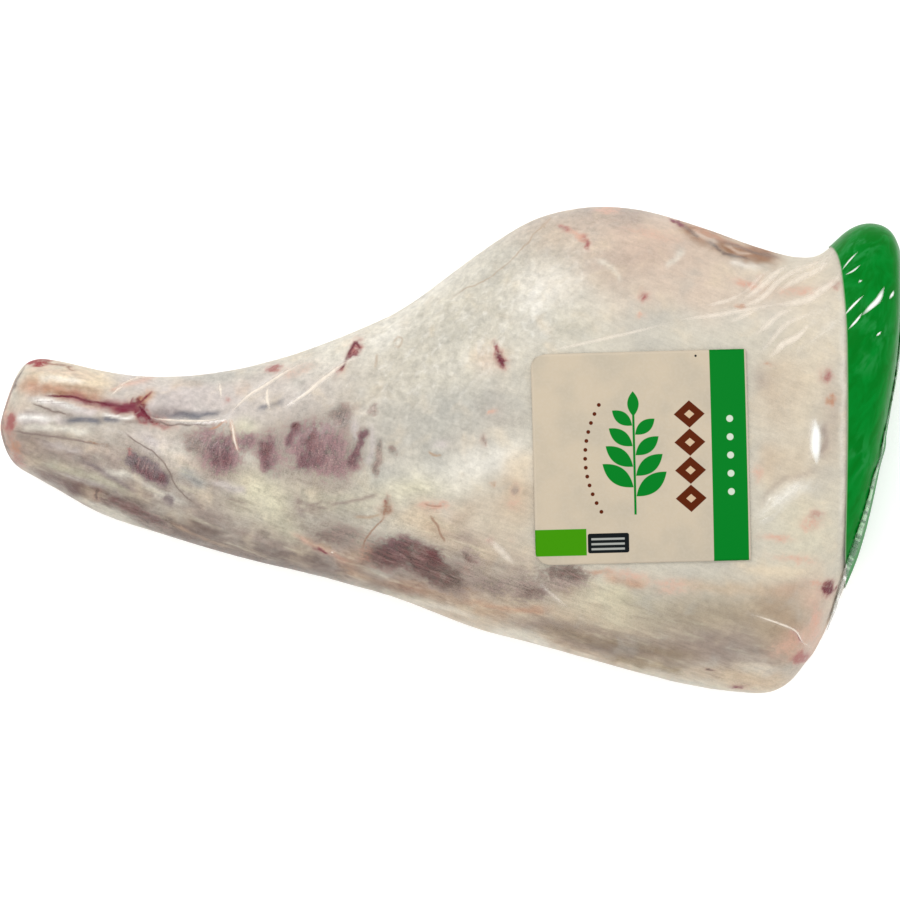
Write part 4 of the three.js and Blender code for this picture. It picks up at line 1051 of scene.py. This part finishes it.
turns = np.linspace(*weld_turns, weld_steps)
ruffle = hills(turns[:, None] * 2.2, 2.0, 61, 3)
weld_points, ridge_values, green_values = [], [], []
turn_list, height_list = zip(*weld_heights)
for side_rise in (weld_gap, weld_gap + weld_thickness):
    for turn, wave in zip(turns, ruffle):
        outward = Vector((math.cos(math.radians(turn)), math.sin(math.radians(turn)), 0))
        middle = np.interp(turn, turn_list, height_list) * mm
        from_ends = np.array([turn - weld_turns[1], weld_turns[0] - turn])
        ends = smooth(from_ends, 0, 6).min()
        for across in np.linspace(-0.5, 0.5, weld_rows):
            level = middle + across * weld_width * ends
            start = weld_middle + outward * 0.3 + Vector((0, 0, level))
            place, normal, _, _ = film_surface.ray_cast(start, -outward)
            lift = side_rise + (0.35 * wave + 0.25) * mm * (0.4 + across) * ends
            weld_points.append(place + normal * lift)
            ridge_values.append(wave)
            green_values.append(1.0 if past_edge(place.x, place.y) > 0 else 0.0)


def shell_faces(rows, columns):
    """The faces of a thin sheet: two grids of points, one after the other, joined round their rim."""
    count = rows * columns
    faces = []
    for i in range(rows - 1):
        for j in range(columns - 1):
            a = i * columns + j
            faces.append((a, a + columns, a + columns + 1, a + 1))
            faces.append(tuple(count + k for k in (a, a + 1, a + columns + 1, a + columns)))
    rim = list(range(columns))
    rim += [i * columns + columns - 1 for i in range(1, rows)]
    rim += [(rows - 1) * columns + j for j in range(columns - 2, -1, -1)]
    rim += [i * columns for i in range(rows - 2, 0, -1)]
    return faces + [(a, b, b + count, a + count) for a, b in zip(rim, rim[1:] + rim[:1])]


weld_mesh = bpy.data.meshes.new("end_weld")
weld_mesh.from_pydata([tuple(p) for p in weld_points], [], shell_faces(weld_steps, weld_rows))
hold(weld_mesh, "ridges", ridge_values)
hold(weld_mesh, "printed_share", green_values)
turner = bmesh.new()
turner.from_mesh(weld_mesh)
bmesh.ops.recalc_face_normals(turner, faces=turner.faces)
turner.to_mesh(weld_mesh)
turner.free()
weld = piece_of(weld_mesh, "end_weld", weld_material)
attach(weld, "root")
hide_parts("packed_leg")

# The label: a thin satin film sticker that lies over the film's hills. Its print is a plain design of
# leaves, dots, lozenges and colour fields.
label_at, label_turn = (83.7, -3.2), 1.5
label_size, label_corner = (94.4, 92.6), 6
label_lift, label_thickness = 0.1, 0.15
label_columns, label_rows = 72, 70

label_material, brush = new_material("label")
split = brush.node("SeparateXYZ", None, {0: brush.painted("print_place")})
u, v = (Tone(split.tree, split.socket.node.outputs[k]) for k in (0, 1))  # mm from the label's middle
soft_edge = 0.12  # mm over which an ink's edge fades
paper_rim = 0.9  # mm, the bare rim round the print, painted lighter as the sticker's lit edge


def box_of(left, right, low, high, corner=0.0):
    """1 inside an upright box on the label, whose corners may be rounded."""
    middle, half = ((left + right) / 2, (low + high) / 2), ((right - left) / 2, (high - low) / 2)
    away_u, away_v = abs(u - middle[0]) - (half[0] - corner), abs(v - middle[1]) - (half[1] - corner)
    if not corner:
        return away_u.step(soft_edge, -soft_edge) * away_v.step(soft_edge, -soft_edge)
    out_u, out_v = away_u.math("MAXIMUM", away_u, 0.0), away_v.math("MAXIMUM", away_v, 0.0)
    away = u.math("SQRT", out_u * out_u + out_v * out_v)
    inside = away_u.step(corner, corner - soft_edge) * away_v.step(corner, corner - soft_edge)
    return away.step(corner + soft_edge, corner - soft_edge) * inside


def turned_by(at, degrees):
    """Places measured along and across a direction from a point on the label."""
    cos, sin = math.cos(math.radians(degrees)), math.sin(math.radians(degrees))
    off_u, off_v = u - at[0], v - at[1]
    return off_u * cos + off_v * sin, off_v * cos - off_u * sin


def leaf(foot, length, width, degrees):
    """1 inside a pointed leaf that grows from its foot."""
    along, aside = turned_by(foot, degrees)
    share = (along - length / 2) * (2 / length)
    bulge = (1 - share * share) * (width / 2)
    return (abs(aside) - bulge).step(soft_edge, -soft_edge)


def dot(at, reach):
    off_u, off_v = u - at[0], v - at[1]
    return (off_u * off_u + off_v * off_v).step((reach + soft_edge) ** 2, (reach - soft_edge) ** 2)


def lozenge(at, half_width, half_height):
    """1 inside a lozenge standing on its point."""
    away = abs(u - at[0]) * (1 / half_width) + abs(v - at[1]) * (1 / half_height)
    return (away - 1).step(0.02, -0.02)


def any_of(shapes):
    joined = shapes[0]
    for shape in shapes[1:]:
        joined = joined.math("MAXIMUM", joined, shape)
    return joined


leaves = [leaf((-2.4, -17 + 9 * k), 17 - 2 * k, 7.4 - 0.7 * k, 38) for k in range(4)]
leaves += [leaf((-3.6, -13 + 9 * k), 17 - 2 * k, 7.4 - 0.7 * k, 142) for k in range(4)]
leaves += [leaf((-3, 18), 11, 5, 90), box_of(-3.5, -2.5, -25, 19)]
lozenges = [lozenge((21.5, -18.5 + 12.3 * k), 6.8, 6) for k in range(4)]
centres = [lozenge((21.5, -18.5 + 12.3 * k), 2.2, 1.9) for k in range(4)]
seeds = [dot((-24.5 + 0.012 * (3.9 * k) ** 2 * (1 if k else 0), 3.9 * k), 0.85) for k in range(-6, 7)]
strip_dots = [dot((39.2, -16 + 8 * k), 1.5) for k in range(5)]
badge_bars = [box_of(-22.6, -8, -40.2 + 2.2 * k, -39.3 + 2.2 * k) for k in range(3)]

weave = brush.noise(1.2 * mm, 2)
paper_clouds = brush.noise(16 * mm, 2)
paper = paper_clouds.step(0.35, 0.7).blend(ink(194, 180, 158), ink(184, 173, 154))
paper = (weave.step(0.4, 0.7) * 0.25).blend(paper, ink(198, 187, 170))
# Painted highlight: the paper's rim is painted lighter, as the sticker's lit edge.
into_rim = any_of([abs(u) - (label_size[0] / 2 - paper_rim), abs(v) - (label_size[1] / 2 - paper_rim)])
paper = (into_rim.step(-0.4, 0.3) * 0.5).blend(paper, ink(206, 192, 172))
green, lime, brown, dark = ink(0, 118, 32), ink(60, 140, 4), ink(86, 32, 8), ink(18, 22, 24)
printed = any_of(leaves).blend(paper, green)
printed = any_of(lozenges).blend(printed, brown)
printed = any_of(centres).blend(printed, ink(196, 172, 142))
printed = any_of(seeds).blend(printed, brown)
printed = box_of(31, 46.4, -60, 60).blend(printed, green)
printed = any_of(strip_dots).blend(printed, ink(196, 208, 190))
printed = box_of(-60, -24.7, -42.4, -30.7).blend(printed, lime)
printed = box_of(-24.2, -6, -41.6, -32.8, 1.2).blend(printed, dark)
printed = any_of(badge_bars).blend(printed, ink(160, 162, 156))
printed = dot((25, 43.8), 0.5).blend(printed, dark)
bump = brush.node("Bump", None, {"Strength": 0.15, "Distance": 0.3 * mm, "Height": weave})
brush.cover({"Base Color": printed, "Roughness": 0.42, "Normal": bump, "Specular IOR Level": 0.04})

half_width, half_height = label_size[0] / 2, label_size[1] / 2
cos, sin = math.cos(math.radians(label_turn)), math.sin(math.radians(label_turn))
label_points, print_places, levels = [], [], []
for row_v in np.linspace(-half_height, half_height, label_rows):
    into_corner = max(0.0, abs(row_v) - (half_height - label_corner))
    inset = label_corner - math.sqrt(label_corner ** 2 - into_corner ** 2)
    for at_u in np.linspace(-half_width + inset, half_width, label_columns):
        x = label_at[0] + at_u * cos - row_v * sin
        y = label_at[1] + at_u * sin + row_v * cos
        place, normal = on_film(x, y)
        label_points.append(np.array(place))
        levels.append(np.array(normal))
        print_places.append((at_u, row_v, 0))
label_points, levels = np.array(label_points), np.array(levels)
heights = label_points[:, 2].reshape(label_rows, label_columns)
for _ in range(3):  # the sticker bridges the film's finest ripples
    padded = np.pad(heights, 1, mode="edge")
    around = (padded[:-2, 1:-1] + padded[2:, 1:-1] + padded[1:-1, :-2] + padded[1:-1, 2:]) / 4
    heights = np.maximum(heights, around)
label_points[:, 2] = heights.ravel()
low = label_points + levels * label_lift * mm
high = label_points + levels * (label_lift + label_thickness) * mm
label_mesh = bpy.data.meshes.new("label_sticker")
label_mesh.from_pydata(np.vstack([low, high]).tolist(), [], shell_faces(label_rows, label_columns))
layer = label_mesh.attributes.new("print_place", "FLOAT_VECTOR", "POINT")
layer.data.foreach_set("vector", np.array(print_places * 2, np.float32).ravel())
label = piece_of(label_mesh, "label_sticker", label_material)
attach(label, "root")
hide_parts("label")
